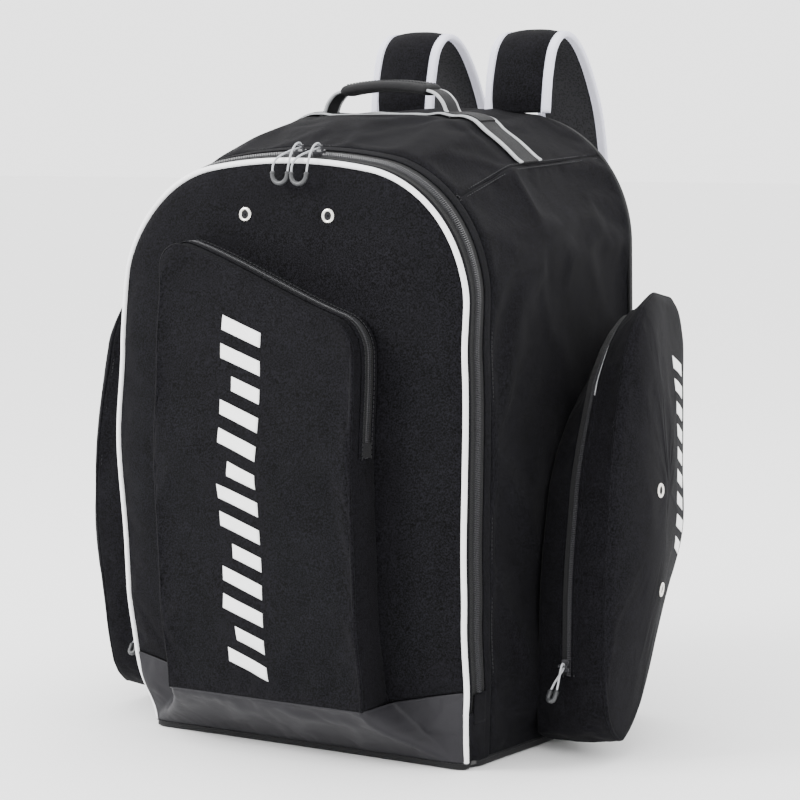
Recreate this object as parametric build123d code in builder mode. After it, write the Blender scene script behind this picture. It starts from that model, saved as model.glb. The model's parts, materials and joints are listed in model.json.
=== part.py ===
"""Skate bag: a large ice-hockey equipment backpack that opens at the front.

Millimetres. The origin is the centre of the base's underside, +Z is up, and the front faces -Y.
The bag body is an arch-shaped shell. Its front panel is a flap that hinges forward about its foot.
"""
import os
from math import asin, cos, degrees, pi, radians, tan

from build123d import *

os.makedirs("parts", exist_ok=True)

# Bag body
WIDTH = 430.0
DEPTH = 335.0
FRONT_Y = -DEPTH / 2
BACK_Y = DEPTH / 2
FRONT_HEIGHT = 620.0
RIDGE_HEIGHT = 660.0
RIDGE_Y = -20.0
BACK_HEIGHT = 667.0
CROWN_R = 600.0
CROWN_HALF = 100.0
WALL = 4.0
SEAM_X = 178.0
TOP_FLOOR = 300.0
JOIN_GAP = 0.2

# The two shoulder arcs leave the crown arc smoothly and end upright at the sides
CROWN_ANGLE = degrees(asin(CROWN_HALF / CROWN_R))
SHOULDER_R = (WIDTH / 2 - CROWN_HALF) / (1 - CROWN_HALF / CROWN_R)
SHOULDER_X = WIDTH / 2 - SHOULDER_R
SHOULDER_DROP = CROWN_R - (CROWN_R - SHOULDER_R) * cos(radians(CROWN_ANGLE))

# Base
BASE_T = 4.0
BINDING_FOOT = 0.5
BINDING_H = 8.0
BINDING_OUT = 3.0
BINDING_CORNER_R = 14.0
BOARD_T = 4.0
BOARD_INSET = 8.0
BOARD_CORNER_R = 20.0

# Front flap and main zipper
FLAP_FOOT = 62.0
HINGE_Z = 60.0
SKIRT_TOP = 58.0
LOWER_PIPING_TOP = 55.5
BAND_TOP = 86.0
PIPING_R = 3.2
PIPING_Y = FRONT_Y + 0.8
PANEL_INSET = 3.6
ZIP_Y = -146.0
ZIP_GAP = 0.3
CHAIN_HALF = 2.6
CHAIN_OUT = 1.0
CHAIN_IN = -2.0
ZIP_FOOT = 84.0
TAPE_BACK = -122.0
TAPE_T = 3.0
PATCH_NEAR = 0.5
PATCH_FAR = 2.0
PATCH_FRONT = -7.0
PATCH_BACK = 9.0
PATCH_OVERLAP = 12.0

# Eyelets
EYELET_R = 8.0
EYELET_HOLE_R = 4.4
EYELET_BARREL_R = 6.0
EYELET_T = 1.2
EYELET_EDGE_R = 0.9
FRONT_EYELET_X = 53.0
FRONT_EYELET_Z = 565.0

# Front pocket, measured on the front of the bag
POCKET_LEFT = -130.0
POCKET_RIGHT = 118.0
POCKET_FOOT = 64.0
POCKET_TOP_LEFT = 541.0
POCKET_TOP_RIGHT = 457.0
POCKET_DEPTH = 50.0
POCKET_FOOT_R = 12.0
POCKET_TOP_R = 28.0
POCKET_FACE_T = 4.0
POCKET_PIPING_R = 2.0
POCKET_EDGE_R = 1.8
POCKET_ZIP_W = 6.0
POCKET_ZIP_T = 1.6
POCKET_ZIP_Y = FRONT_Y - 22.0
POCKET_ZIP_LEFT_Z = 455.0
POCKET_ZIP_RIGHT_Z = 320.0
POCKET_ZIP_SPLIT_X = -60.0

# Side pockets: outlines in (y, z) at the bag's side and at the outer seam
SIDE_OUT = 100.0
SIDE_CROWN = 20.0
SIDE_CROWN_INSET = 45.0
SIDE_WALL = 4.0
SIDE_INNER = [(-42, 8), (-40, 190), (-18, 298), (35, 363), (99, 402), (160, 438), (160, 110), (50, 8)]
SIDE_OUTER = [(-72, 12), (-67, 190), (-50, 320), (-17, 436), (45, 480), (145, 476), (150, 190), (-35, 8)]
LEFT_POCKET_FORWARD = 28.0
SIDE_ZIP_W = 6.0
SIDE_ZIP_T = 1.6
SIDE_ZIP_FOOT = 90.0
SIDE_ZIP_BACK = 118.0
SIDE_ZIP_HIGH = 250.0
SIDE_PIPING_W = 4.0
SIDE_PIPING_IN = 1.7
SIDE_PIPING_OUT = 3.6
SIDE_EYELET_NEAR = 13.0
SIDE_EYELET_T = 9.0
SIDE_EYELETS = [(20.0, 276.0), (25.0, 171.0)]

# Top webbing and carry handle
WEBBING_Y = 22.0
WEBBING_W = 42.0
WEBBING_T = 1.6
HANDLE_W = 30.0
HANDLE_T = 3.0
HANDLE_PATH = [(-84, 661), (-75, 677), (-56, 690), (0, 696), (56, 690), (75, 677), (84, 661)]
HANDLE_RADII = [10, 30, 300, 30, 10]
HANDLE_PIVOT_Z = 676.0
GRIP_HALF = 52.0
GRIP_W = 35.0
GRIP_T = 14.0
ANCHOR_START = 86.0
ANCHOR_END = 120.0
ANCHOR_W = 34.0

# Shoulder straps, with a path in (y, z)
STRAP_X = 77.0
STRAP_W = 72.0
STRAP_T = 9.0
STRAP_PATH = [
    (160, 669),
    (166, 722),
    (200, 753),
    (242, 728),
    (280, 650),
    (293, 545),
    (282, 430),
    (250, 330),
    (232, 284),
]
STRAP_RADII = [22, 24, 60, 150, 200, 200, 60]
BINDING_W = 6.0
BINDING_T = 11.0
LOCK_W = 34.0
LOCK_H = 26.0
LOCK_T = 5.0
LOCK_CENTRE = (STRAP_X, 226.5, 268.5)
LOCK_FACING = (0, 46, -18)
LOCK_CORNER_R = 3.0
LOCK_SLOT_UP = 5.5
LOCK_SLOT_H = 5.0
LOCK_EDGE_R = 0.6
LOWER_WEB_W = 25.0
LOWER_WEB_T = 2.0
LOWER_WEB_TOP = (86.0, 219.0, 248.0)
LOWER_WEB_FOOT = (182.0, 173.0, 60.0)
LOWER_ANCHOR = [(212.0, 16.0), (212.0, 76.0), (168.0, 62.0), (168.0, 50.0)]
LOWER_ANCHOR_T = 3.0

# Back
BACK_T = 6.5
FOAM_T = 5.0
FOAM_INSET = 6.0
FOAM_FOOT = 12.0
PAD_T = 13.0
PAD_EDGE_R = 5.0
PAD_CORNER_R = 22.0
COLUMN_X = 62.0
COLUMN_Z = 345.0
COLUMN_W = 88.0
COLUMN_H = 400.0
LUMBAR_Z = 90.0
LUMBAR_W = 250.0
LUMBAR_H = 76.0
YOKE_Z = 600.0
YOKE_W = 260.0
YOKE_H = 72.0
YOKE_CORNER_R = 14.0
YOKE_T = 2.5

# Zip sliders and their cord pulls
SLIDER_L = 13.0
SLIDER_W = 9.0
SLIDER_T = 4.0
BAR_R = 0.8
BAR_RISE = 5.2
BAR_HALF = 4.6
SLIDER_CORNER_R = 2.5
POST_L = 2.6
CORD_R = 1.1
CLIP_R = 2.4
CLIP_ARM = 7.0
MAIN_SLIDERS = {"left": 0.0, "right": 24.0}
FRONT_SLIDER_Z = 465.0
SIDE_SLIDER_Z = 99.0

# Routes of the pulls' cord loops from one clip arm, round the bar, to the other: (out, up, across)
MAIN_CORD = [
    (34.5, -27.0, -3.6),
    (32.0, -17.5, -3.3),
    (23.5, -10.5, -2.4),
    (12.5, -5.5, -1.2),
    (2.0, -3.0, -0.2),
    (-3.2, -2.0, 0.0),
    (-3.2, 2.0, 0.0),
    (2.0, 3.1, 0.2),
    (13.0, 0.5, 1.2),
    (25.0, -6.5, 2.4),
    (33.5, -16.0, 3.3),
    (34.5, -27.0, 3.6),
]
FRONT_CORD = [
    (0.5, -15.0, -3.6),
    (-1.5, -8.5, -2.4),
    (-3.2, -1.5, -0.3),
    (-2.2, 2.8, 0.0),
    (2.2, 2.8, 0.0),
    (3.2, -1.5, 0.3),
    (1.8, -8.5, 2.4),
    (0.5, -15.0, 3.6),
]
SIDE_CORD = [
    (19.0, -22.5, -3.6),
    (12.5, -16.0, -3.3),
    (5.0, -9.5, -2.0),
    (-1.8, -3.4, -0.3),
    (-3.4, 1.0, 0.0),
    (0.0, 3.6, 0.0),
    (3.6, 0.8, 0.3),
    (9.0, -5.5, 2.0),
    (14.5, -13.5, 3.3),
    (19.0, -22.5, 3.6),
]


def save(sub_part, name):
    """Label a finished sub-part and write its STEP file."""
    sub_part.part.label = name
    export_step(sub_part.part, f"parts/{name}.step")


def apex_at(y):
    """Height of the arch's highest point at depth y."""
    if y < RIDGE_Y:
        return FRONT_HEIGHT + (RIDGE_HEIGHT - FRONT_HEIGHT) * (y - FRONT_Y) / (RIDGE_Y - FRONT_Y)
    return RIDGE_HEIGHT + (BACK_HEIGHT - RIDGE_HEIGHT) * (y - RIDGE_Y) / (BACK_Y - RIDGE_Y)


def top_at(x, y):
    """Height of the bag's top surface at x, inside the crown arc."""
    return apex_at(y) - CROWN_R + (CROWN_R**2 - x**2) ** 0.5


def arch_face(y, grow, floor):
    """Arch-shaped face at depth y, grown outward by grow, standing on floor."""
    apex = apex_at(y)
    shoulder_z = apex - SHOULDER_DROP
    half = WIDTH / 2 + grow
    sweep_angle = 90 - CROWN_ANGLE
    with BuildSketch(Plane.XZ.offset(-y)) as face:
        with BuildLine():
            CenterArc((SHOULDER_X, shoulder_z), SHOULDER_R + grow, 0, sweep_angle)
            CenterArc((0, apex - CROWN_R), CROWN_R + grow, sweep_angle, 2 * CROWN_ANGLE)
            CenterArc((-SHOULDER_X, shoulder_z), SHOULDER_R + grow, 90 + CROWN_ANGLE, sweep_angle)
            Polyline((-half, shoulder_z), (-half, floor), (half, floor), (half, shoulder_z))
        make_face()
    return face.sketch


def arch_plate(y_front, thickness, grow, floor):
    """Flat arch-shaped plate whose front is at y_front, shaped by the arch there."""
    extrude(arch_face(y_front, grow, floor), amount=-thickness)


def arch_band(y_front, y_back, outer, inner, floor):
    """Shell that follows the arch between two depths, open at its foot."""
    levels = [y_front, y_back]
    if y_front < RIDGE_Y < y_back:
        levels.insert(1, RIDGE_Y)
    loft([arch_face(y, outer, floor) for y in levels], ruled=True)
    loft([arch_face(y, inner, floor - 1) for y in levels], ruled=True, mode=Mode.SUBTRACT)


def block(low, high, mode=Mode.ADD):
    """Box between two corners."""
    size = [b - a for a, b in zip(low, high)]
    middle = [(a + b) / 2 for a, b in zip(low, high)]
    with Locations(tuple(middle)):
        Box(*size, mode=mode)


def arch_piping(foot):
    """Piping along the front edge of the arch, from foot up and over."""
    apex = apex_at(FRONT_Y)
    shoulder_z = apex - SHOULDER_DROP
    half = WIDTH / 2
    with BuildLine(Plane.XZ.offset(-PIPING_Y)) as path:
        Line((half, foot), (half, shoulder_z))
        CenterArc((SHOULDER_X, shoulder_z), SHOULDER_R, 0, 90 - CROWN_ANGLE)
        CenterArc((0, apex - CROWN_R), CROWN_R, 90 - CROWN_ANGLE, 2 * CROWN_ANGLE)
        CenterArc((-SHOULDER_X, shoulder_z), SHOULDER_R, 90 + CROWN_ANGLE, 90 - CROWN_ANGLE)
        Line((-half, shoulder_z), (-half, foot))
    with BuildSketch(Plane((half, PIPING_Y, foot), x_dir=(1, 0, 0), z_dir=(0, 0, 1))) as section:
        Circle(PIPING_R)
    sweep(section.sketch, path=path.line)


# ---------------------------------------------------------------- base

with BuildPart() as base_panel:
    block((-WIDTH / 2 + WALL, FRONT_Y + WALL, 0), (WIDTH / 2 - WALL, BACK_Y - WALL, BASE_T))
save(base_panel, "base_panel")

with BuildPart() as base_binding:
    with BuildSketch(Plane.XY.offset(BINDING_FOOT)):
        RectangleRounded(WIDTH + 2 * BINDING_OUT, DEPTH + 2 * BINDING_OUT, BINDING_CORNER_R)
        Rectangle(WIDTH - 2 * WALL, DEPTH - 2 * WALL, mode=Mode.SUBTRACT)
    extrude(amount=BINDING_H - BINDING_FOOT)
save(base_binding, "base_binding")

with BuildPart() as base_board:
    with BuildSketch(Plane.XY.offset(BASE_T)):
        RectangleRounded(WIDTH - 2 * (WALL + BOARD_INSET), DEPTH - 2 * (WALL + BOARD_INSET), BOARD_CORNER_R)
    extrude(amount=BOARD_T)
save(base_board, "base_board")

# ---------------------------------------------------------------- bag shell

with BuildPart() as top_panel:
    arch_band(TAPE_BACK, BACK_Y - BACK_T, 0, -WALL, TOP_FLOOR)
    split(bisect_by=Plane.YZ.offset(SEAM_X), keep=Keep.BOTTOM)
    split(bisect_by=Plane.YZ.offset(-SEAM_X), keep=Keep.TOP)
save(top_panel, "top_panel")

for side, name in ((1, "right"), (-1, "left")):
    with BuildPart() as side_panel:
        arch_band(TAPE_BACK, BACK_Y - BACK_T, 0, -WALL, BINDING_H)
        split(bisect_by=Plane.YZ.offset(side * SEAM_X), keep=Keep.TOP if side > 0 else Keep.BOTTOM)
    save(side_panel, f"side_panel_{name}")

with BuildPart() as back_panel:
    arch_plate(BACK_Y - BACK_T, BACK_T, 0, BINDING_H)
save(back_panel, "back_panel")

with BuildPart() as back_foam:
    arch_plate(BACK_Y - BACK_T - FOAM_T, FOAM_T, -WALL - FOAM_INSET, FOAM_FOOT)
save(back_foam, "back_foam")

with BuildPart() as front_gusset:
    arch_band(ZIP_Y + ZIP_GAP + CHAIN_HALF, TAPE_BACK, 0, -TAPE_T, BINDING_H)
    for side in (1, -1):
        outer_x = side * WIDTH / 2
        inner_x = side * (WIDTH / 2 - TAPE_T)
        low = (min(outer_x, inner_x), FRONT_Y + WALL + JOIN_GAP, BINDING_H)
        high = (max(outer_x, inner_x), ZIP_Y + ZIP_GAP + CHAIN_HALF, SKIRT_TOP)
        block(low, high)
save(front_gusset, "front_gusset")

with BuildPart() as body_zip_teeth:
    arch_band(ZIP_Y + ZIP_GAP, ZIP_Y + ZIP_GAP + CHAIN_HALF, CHAIN_OUT, CHAIN_IN, ZIP_FOOT)
save(body_zip_teeth, "body_zip_teeth")

with BuildPart() as zip_end_patches:
    for side in (1, -1):
        near = side * (WIDTH / 2 + PATCH_NEAR)
        far = side * (WIDTH / 2 + PATCH_FAR)
        low = (min(near, far), ZIP_Y + PATCH_FRONT, SKIRT_TOP - PATCH_OVERLAP)
        high = (max(near, far), ZIP_Y + PATCH_BACK, ZIP_FOOT - PATCH_FAR)
        block(low, high)
save(zip_end_patches, "zip_end_patches")

with BuildPart() as front_skirt:
    half = WIDTH / 2 - PANEL_INSET
    block((-half, FRONT_Y, BINDING_H), (half, FRONT_Y + WALL, SKIRT_TOP))
save(front_skirt, "front_skirt")

# It stops short of the flap's piping, which turns over its end as the flap opens
with BuildPart() as lower_piping:
    for side in (1, -1):
        with BuildSketch(Plane.XY.offset(BINDING_H)):
            with Locations((side * WIDTH / 2, PIPING_Y)):
                Circle(PIPING_R)
        extrude(amount=LOWER_PIPING_TOP - BINDING_H)
save(lower_piping, "lower_piping")

# ---------------------------------------------------------------- front flap

with BuildPart() as front_panel:
    arch_plate(FRONT_Y, WALL, -PANEL_INSET, BAND_TOP)
    with BuildSketch(Plane.XZ.offset(-FRONT_Y)):
        with Locations((FRONT_EYELET_X, FRONT_EYELET_Z), (-FRONT_EYELET_X, FRONT_EYELET_Z)):
            Circle(EYELET_BARREL_R)
    extrude(amount=-WALL, mode=Mode.SUBTRACT)
save(front_panel, "front_panel")

with BuildPart() as flap_skirt:
    half = WIDTH / 2 - PANEL_INSET
    block((-half, FRONT_Y, FLAP_FOOT), (half, FRONT_Y + WALL, BAND_TOP))
save(flap_skirt, "flap_skirt")

with BuildPart() as flap_gusset:
    arch_band(FRONT_Y + WALL + JOIN_GAP, ZIP_Y - ZIP_GAP - CHAIN_HALF, 0, -TAPE_T, FLAP_FOOT)
save(flap_gusset, "flap_gusset")

with BuildPart() as flap_piping:
    arch_piping(FLAP_FOOT)
save(flap_piping, "flap_piping")

with BuildPart() as flap_zip_teeth:
    arch_band(ZIP_Y - ZIP_GAP - CHAIN_HALF, ZIP_Y - ZIP_GAP, CHAIN_OUT, CHAIN_IN, ZIP_FOOT)
save(flap_zip_teeth, "flap_zip_teeth")

with BuildPart() as front_eyelets:
    with BuildSketch(Plane.XZ.offset(-FRONT_Y)):
        with Locations((FRONT_EYELET_X, FRONT_EYELET_Z), (-FRONT_EYELET_X, FRONT_EYELET_Z)):
            Circle(EYELET_R)
    extrude(amount=EYELET_T)
    with BuildSketch(Plane.XZ.offset(-FRONT_Y)):
        with Locations((FRONT_EYELET_X, FRONT_EYELET_Z), (-FRONT_EYELET_X, FRONT_EYELET_Z)):
            Circle(EYELET_BARREL_R)
    extrude(amount=-WALL)
    fillet(front_eyelets.faces().filter_by(Axis.Y).group_by(Axis.Y)[0].edges(), EYELET_EDGE_R)
    with BuildSketch(Plane.XZ.offset(-FRONT_Y + EYELET_T)):
        with Locations((FRONT_EYELET_X, FRONT_EYELET_Z), (-FRONT_EYELET_X, FRONT_EYELET_Z)):
            Circle(EYELET_HOLE_R)
    extrude(amount=-WALL - EYELET_T, mode=Mode.SUBTRACT)
save(front_eyelets, "front_eyelets")


# ---------------------------------------------------------------- front pocket

FACE_Y = FRONT_Y - POCKET_DEPTH + POCKET_FACE_T
RING_DEPTH = POCKET_DEPTH - POCKET_FACE_T


def pocket_prism(y_back, depth, grow, mode=Mode.ADD):
    """Prism of the front pocket's outline, grown by grow, reaching forward from y_back."""
    left = POCKET_LEFT - grow
    right = POCKET_RIGHT + grow
    slope = (POCKET_TOP_LEFT - POCKET_TOP_RIGHT) / (POCKET_RIGHT - POCKET_LEFT)
    foot = POCKET_FOOT - grow
    lift = grow * (1 + slope**2) ** 0.5
    top_left = POCKET_TOP_LEFT + lift + slope * grow
    top_right = POCKET_TOP_RIGHT + lift - slope * grow
    corners = [(left, foot), (right, foot), (right, top_right), (left, top_left)]
    radii = [POCKET_FOOT_R + grow, POCKET_FOOT_R + grow, POCKET_TOP_R + grow, POCKET_TOP_R + grow]
    with BuildSketch(Plane.XZ.offset(-y_back)) as outline:
        with BuildLine():
            FilletPolyline(*corners, radius=radii, close=True)
        make_face()
    extrude(outline.sketch, amount=depth, mode=mode)


with BuildPart() as front_pocket_gusset:
    pocket_prism(FRONT_Y, RING_DEPTH, 0)
    pocket_prism(FRONT_Y, RING_DEPTH, -TAPE_T, mode=Mode.SUBTRACT)
save(front_pocket_gusset, "front_pocket_gusset")

with BuildPart() as front_pocket_face:
    pocket_prism(FACE_Y, POCKET_FACE_T, -2 * POCKET_PIPING_R)
save(front_pocket_face, "front_pocket_face")

with BuildPart() as front_pocket_piping:
    pocket_prism(FACE_Y, POCKET_FACE_T, 0)
    pocket_prism(FACE_Y, POCKET_FACE_T, -2 * POCKET_PIPING_R, mode=Mode.SUBTRACT)
    fillet(front_pocket_piping.faces().sort_by(Axis.Y)[0].outer_wire().edges(), POCKET_EDGE_R)
save(front_pocket_piping, "front_pocket_piping")

with BuildPart() as front_pocket_zip:
    pocket_prism(POCKET_ZIP_Y + POCKET_ZIP_W / 2, POCKET_ZIP_W, POCKET_ZIP_T)
    pocket_prism(POCKET_ZIP_Y + POCKET_ZIP_W / 2, POCKET_ZIP_W, 0, mode=Mode.SUBTRACT)
    # The chain ends at a different height on each side
    front = FRONT_Y - POCKET_DEPTH
    block((-WIDTH, front, 0), (POCKET_ZIP_SPLIT_X, FRONT_Y, POCKET_ZIP_LEFT_Z), mode=Mode.SUBTRACT)
    block((POCKET_ZIP_SPLIT_X, front, 0), (WIDTH, FRONT_Y, POCKET_ZIP_RIGHT_Z), mode=Mode.SUBTRACT)
save(front_pocket_zip, "front_pocket_zip")

# ---------------------------------------------------------------- side pockets


def pocket_y(side, y):
    """Depth of a point of the side pocket: the left pocket sits further forward than the right."""
    return y if side > 0 else y - LEFT_POCKET_FORWARD


def side_sketch(side, x, outline, inset):
    """Side pocket's outline at distance x from the middle of the bag, inset evenly."""
    with BuildSketch(Plane.YZ.offset(side * x)) as section:
        Polygon(*[(pocket_y(side, y), z) for y, z in outline], align=None)
        if inset:
            offset(amount=-inset, kind=Kind.INTERSECTION)
    return section.sketch


def side_section(x):
    """Side pocket's outline between the bag's side and the outer seam, at distance x."""
    t = (x - WIDTH / 2) / SIDE_OUT
    return [(a[0] + t * (b[0] - a[0]), a[1] + t * (b[1] - a[1])) for a, b in zip(SIDE_INNER, SIDE_OUTER)]


ROOT_X = WIDTH / 2
SEAM_OUT = WIDTH / 2 + SIDE_OUT
ZIP_MID = WIDTH / 2 + SIDE_OUT / 2

for side, name in ((1, "right"), (-1, "left")):
    with BuildPart() as pocket_gusset:
        for inset, mode in ((0, Mode.ADD), (SIDE_WALL, Mode.SUBTRACT)):
            root = side_sketch(side, ROOT_X, SIDE_INNER, inset)
            seam = side_sketch(side, SEAM_OUT, SIDE_OUTER, inset)
            loft([root, seam], ruled=True, mode=mode)
    save(pocket_gusset, f"pocket_gusset_{name}")

    with BuildPart() as pocket_face:
        for inset, wall, mode in ((0, 0, Mode.ADD), (SIDE_WALL, SIDE_WALL, Mode.SUBTRACT)):
            seam = side_sketch(side, SEAM_OUT, SIDE_OUTER, inset)
            crown = side_sketch(side, SEAM_OUT + SIDE_CROWN - wall, SIDE_OUTER, SIDE_CROWN_INSET + wall)
            loft([seam, crown], ruled=True, mode=mode)
        for y, z in SIDE_EYELETS:
            with Locations(Plane((side * SEAM_OUT, pocket_y(side, y), z), z_dir=(side, 0, 0))):
                Cylinder(EYELET_R, 3 * SIDE_CROWN, mode=Mode.SUBTRACT)
    save(pocket_face, f"pocket_face_{name}")

with BuildPart() as side_pocket_zips:
    edges_x = (ZIP_MID - SIDE_ZIP_W / 2, ZIP_MID + SIDE_ZIP_W / 2)
    for grow, mode in ((SIDE_ZIP_T, Mode.ADD), (0.05, Mode.SUBTRACT)):
        for side in (1, -1):
            loft([side_sketch(side, x, side_section(x), -grow) for x in edges_x], ruled=True, mode=mode)
    # The chain runs up the front edge and over the top, as far as SIDE_ZIP_BACK
    block((-WIDTH, -DEPTH, 0), (WIDTH, DEPTH, SIDE_ZIP_FOOT), mode=Mode.SUBTRACT)
    block((-WIDTH, SIDE_ZIP_BACK, 0), (WIDTH, DEPTH, BACK_HEIGHT), mode=Mode.SUBTRACT)
    block((-WIDTH, 0, 0), (WIDTH, DEPTH, SIDE_ZIP_HIGH), mode=Mode.SUBTRACT)
save(side_pocket_zips, "side_pocket_zips")

with BuildPart() as side_pocket_piping:
    for grow, mode in ((SIDE_PIPING_OUT, Mode.ADD), (SIDE_PIPING_IN, Mode.SUBTRACT)):
        for side in (1, -1):
            ring = side_sketch(side, SEAM_OUT - SIDE_PIPING_W / 2, SIDE_OUTER, -grow)
            extrude(ring, amount=side * SIDE_PIPING_W, mode=mode)
save(side_pocket_piping, "side_pocket_piping")

with BuildPart() as side_eyelets:
    for side in (1, -1):
        for y, z in SIDE_EYELETS:
            centre = (side * (SEAM_OUT + SIDE_EYELET_NEAR), pocket_y(side, y), z)
            with BuildSketch(Plane(centre, z_dir=(side, 0, 0))):
                Circle(EYELET_R)
                Circle(EYELET_HOLE_R, mode=Mode.SUBTRACT)
            extrude(amount=SIDE_EYELET_T)
save(side_eyelets, "side_eyelets")

# ---------------------------------------------------------------- top webbing and carry handle

with BuildPart() as top_webbing:
    arch_band(WEBBING_Y - WEBBING_W / 2, WEBBING_Y + WEBBING_W / 2, WEBBING_T, 0, TOP_FLOOR)
    split(bisect_by=Plane.YZ.offset(SEAM_X), keep=Keep.BOTTOM)
    split(bisect_by=Plane.YZ.offset(-SEAM_X), keep=Keep.TOP)
save(top_webbing, "top_webbing")

with BuildPart() as handle_anchors:
    half_w = ANCHOR_W / 2
    arch_band(WEBBING_Y - half_w, WEBBING_Y + half_w, 2 * WEBBING_T, WEBBING_T, TOP_FLOOR)
    block((-ANCHOR_START, -DEPTH, 0), (ANCHOR_START, DEPTH, 2 * RIDGE_HEIGHT), mode=Mode.SUBTRACT)
    block((ANCHOR_END, -DEPTH, 0), (WIDTH, DEPTH, 2 * RIDGE_HEIGHT), mode=Mode.SUBTRACT)
    block((-WIDTH, -DEPTH, 0), (-ANCHOR_END, DEPTH, 2 * RIDGE_HEIGHT), mode=Mode.SUBTRACT)
save(handle_anchors, "handle_anchors")


def handle_sweep(width, thickness, mode=Mode.ADD):
    """Flat section swept along the handle's path."""
    with BuildLine(Plane.XZ.offset(-WEBBING_Y)) as path:
        FilletPolyline(*HANDLE_PATH, radius=HANDLE_RADII)
    with BuildSketch(Plane(path.line @ 0, x_dir=(0, 1, 0), z_dir=path.line % 0)) as section:
        Rectangle(width, thickness)
    sweep(section.sketch, path=path.line, mode=mode)


with BuildPart() as handle_webbing:
    handle_sweep(HANDLE_W, HANDLE_T)
    # The feet are rounded about the handle's pivot, so that they clear the bag as it swings
    with BuildSketch(Plane.YZ.offset(-WIDTH / 2)):
        with Locations((WEBBING_Y, HANDLE_PIVOT_Z - HANDLE_W / 2)):
            Rectangle(2 * HANDLE_W, HANDLE_W)
        with Locations((WEBBING_Y, HANDLE_PIVOT_Z)):
            Circle(HANDLE_W / 2, mode=Mode.SUBTRACT)
    extrude(amount=WIDTH, mode=Mode.SUBTRACT)
save(handle_webbing, "handle_webbing")

with BuildPart() as handle_grip:
    handle_sweep(GRIP_W, GRIP_T)
    block((GRIP_HALF, -DEPTH, 0), (WIDTH, DEPTH, 2 * RIDGE_HEIGHT), mode=Mode.SUBTRACT)
    block((-WIDTH, -DEPTH, 0), (-GRIP_HALF, DEPTH, 2 * RIDGE_HEIGHT), mode=Mode.SUBTRACT)
    handle_sweep(HANDLE_W, HANDLE_T, mode=Mode.SUBTRACT)
save(handle_grip, "handle_grip")

# ---------------------------------------------------------------- shoulder straps


def strap_sweep(x, width, thickness):
    """Flat section swept along a shoulder strap's path at x."""
    with BuildLine(Plane.YZ.offset(x)) as path:
        FilletPolyline(*STRAP_PATH, radius=STRAP_RADII)
    with BuildSketch(Plane(path.line @ 0, x_dir=(1, 0, 0), z_dir=path.line % 0)) as section:
        Rectangle(width, thickness)
    sweep(section.sketch, path=path.line)


for side, name in ((1, "right"), (-1, "left")):
    with BuildPart() as shoulder_strap:
        strap_sweep(side * STRAP_X, STRAP_W, STRAP_T)
    save(shoulder_strap, f"shoulder_strap_{name}")

    with BuildPart() as strap_binding:
        for edge in (1, -1):
            strap_sweep(side * STRAP_X + edge * (STRAP_W + BINDING_W) / 2, BINDING_W, BINDING_T)
    save(strap_binding, f"strap_binding_{name}")

    lock_x = side * LOCK_CENTRE[0]
    lock_plane = Plane((lock_x, LOCK_CENTRE[1], LOCK_CENTRE[2]), x_dir=(1, 0, 0), z_dir=LOCK_FACING)
    with BuildPart() as ladder_lock:
        with BuildSketch(lock_plane.offset(-LOCK_T / 2)):
            RectangleRounded(LOCK_W, LOCK_H, LOCK_CORNER_R)
            with Locations((0, LOCK_SLOT_UP), (0, -LOCK_SLOT_UP)):
                Rectangle(LOWER_WEB_W + 1, LOCK_SLOT_H, mode=Mode.SUBTRACT)
        extrude(amount=LOCK_T)
        fillet(ladder_lock.edges().filter_by(GeomType.LINE).filter_by(Axis.X), LOCK_EDGE_R)
    save(ladder_lock, f"ladder_lock_{name}")

with BuildPart() as lower_webbing:
    for side in (1, -1):
        for x, y, z in (LOWER_WEB_TOP, LOWER_WEB_FOOT):
            with BuildSketch(Plane((side * x, y, z), x_dir=(1, 0, 0), z_dir=(0, 0, 1))):
                Rectangle(LOWER_WEB_W, LOWER_WEB_T)
        loft(ruled=True)
save(lower_webbing, "lower_webbing")

with BuildPart() as lower_anchors:
    for side in (1, -1):
        with BuildSketch(Plane.XZ.offset(-BACK_Y)):
            Polygon(*[(side * x, z) for x, z in LOWER_ANCHOR], align=None)
        extrude(amount=-LOWER_ANCHOR_T)
save(lower_anchors, "lower_anchors")

# ---------------------------------------------------------------- back

with BuildPart() as back_pads:
    with BuildSketch(Plane.XZ.offset(-BACK_Y)):
        with Locations((-COLUMN_X, COLUMN_Z), (COLUMN_X, COLUMN_Z)):
            RectangleRounded(COLUMN_W, COLUMN_H, PAD_CORNER_R)
        with Locations((0, LUMBAR_Z)):
            RectangleRounded(LUMBAR_W, LUMBAR_H, PAD_CORNER_R)
    extrude(amount=-PAD_T)
    fillet(back_pads.faces().filter_by(Axis.Y).group_by(Axis.Y)[-1].edges(), PAD_EDGE_R)
save(back_pads, "back_pads")

with BuildPart() as strap_yoke:
    with BuildSketch(Plane.XZ.offset(-BACK_Y)):
        with Locations((0, YOKE_Z)):
            RectangleRounded(YOKE_W, YOKE_H, YOKE_CORNER_R)
    extrude(amount=-YOKE_T)
save(strap_yoke, "strap_yoke")

# ---------------------------------------------------------------- zip sliders and cord pulls


def save_slider(base, length, width, name):
    """Zip slider standing on base, with a bar along base's X held over its back."""
    with BuildPart() as slider:
        with BuildSketch(base):
            RectangleRounded(length, width, SLIDER_CORNER_R)
        extrude(amount=SLIDER_T)
        with BuildSketch(base.offset(SLIDER_T)):
            with Locations((BAR_HALF, 0), (-BAR_HALF, 0)):
                Rectangle(2 * BAR_R, POST_L)
        extrude(amount=BAR_RISE + BAR_R)
        bar_end = base.from_local_coords((-BAR_HALF, 0, SLIDER_T + BAR_RISE))
        with BuildSketch(Plane(bar_end, z_dir=base.x_dir)):
            Circle(BAR_R)
        extrude(amount=2 * BAR_HALF)
    save(slider, name)


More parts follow.
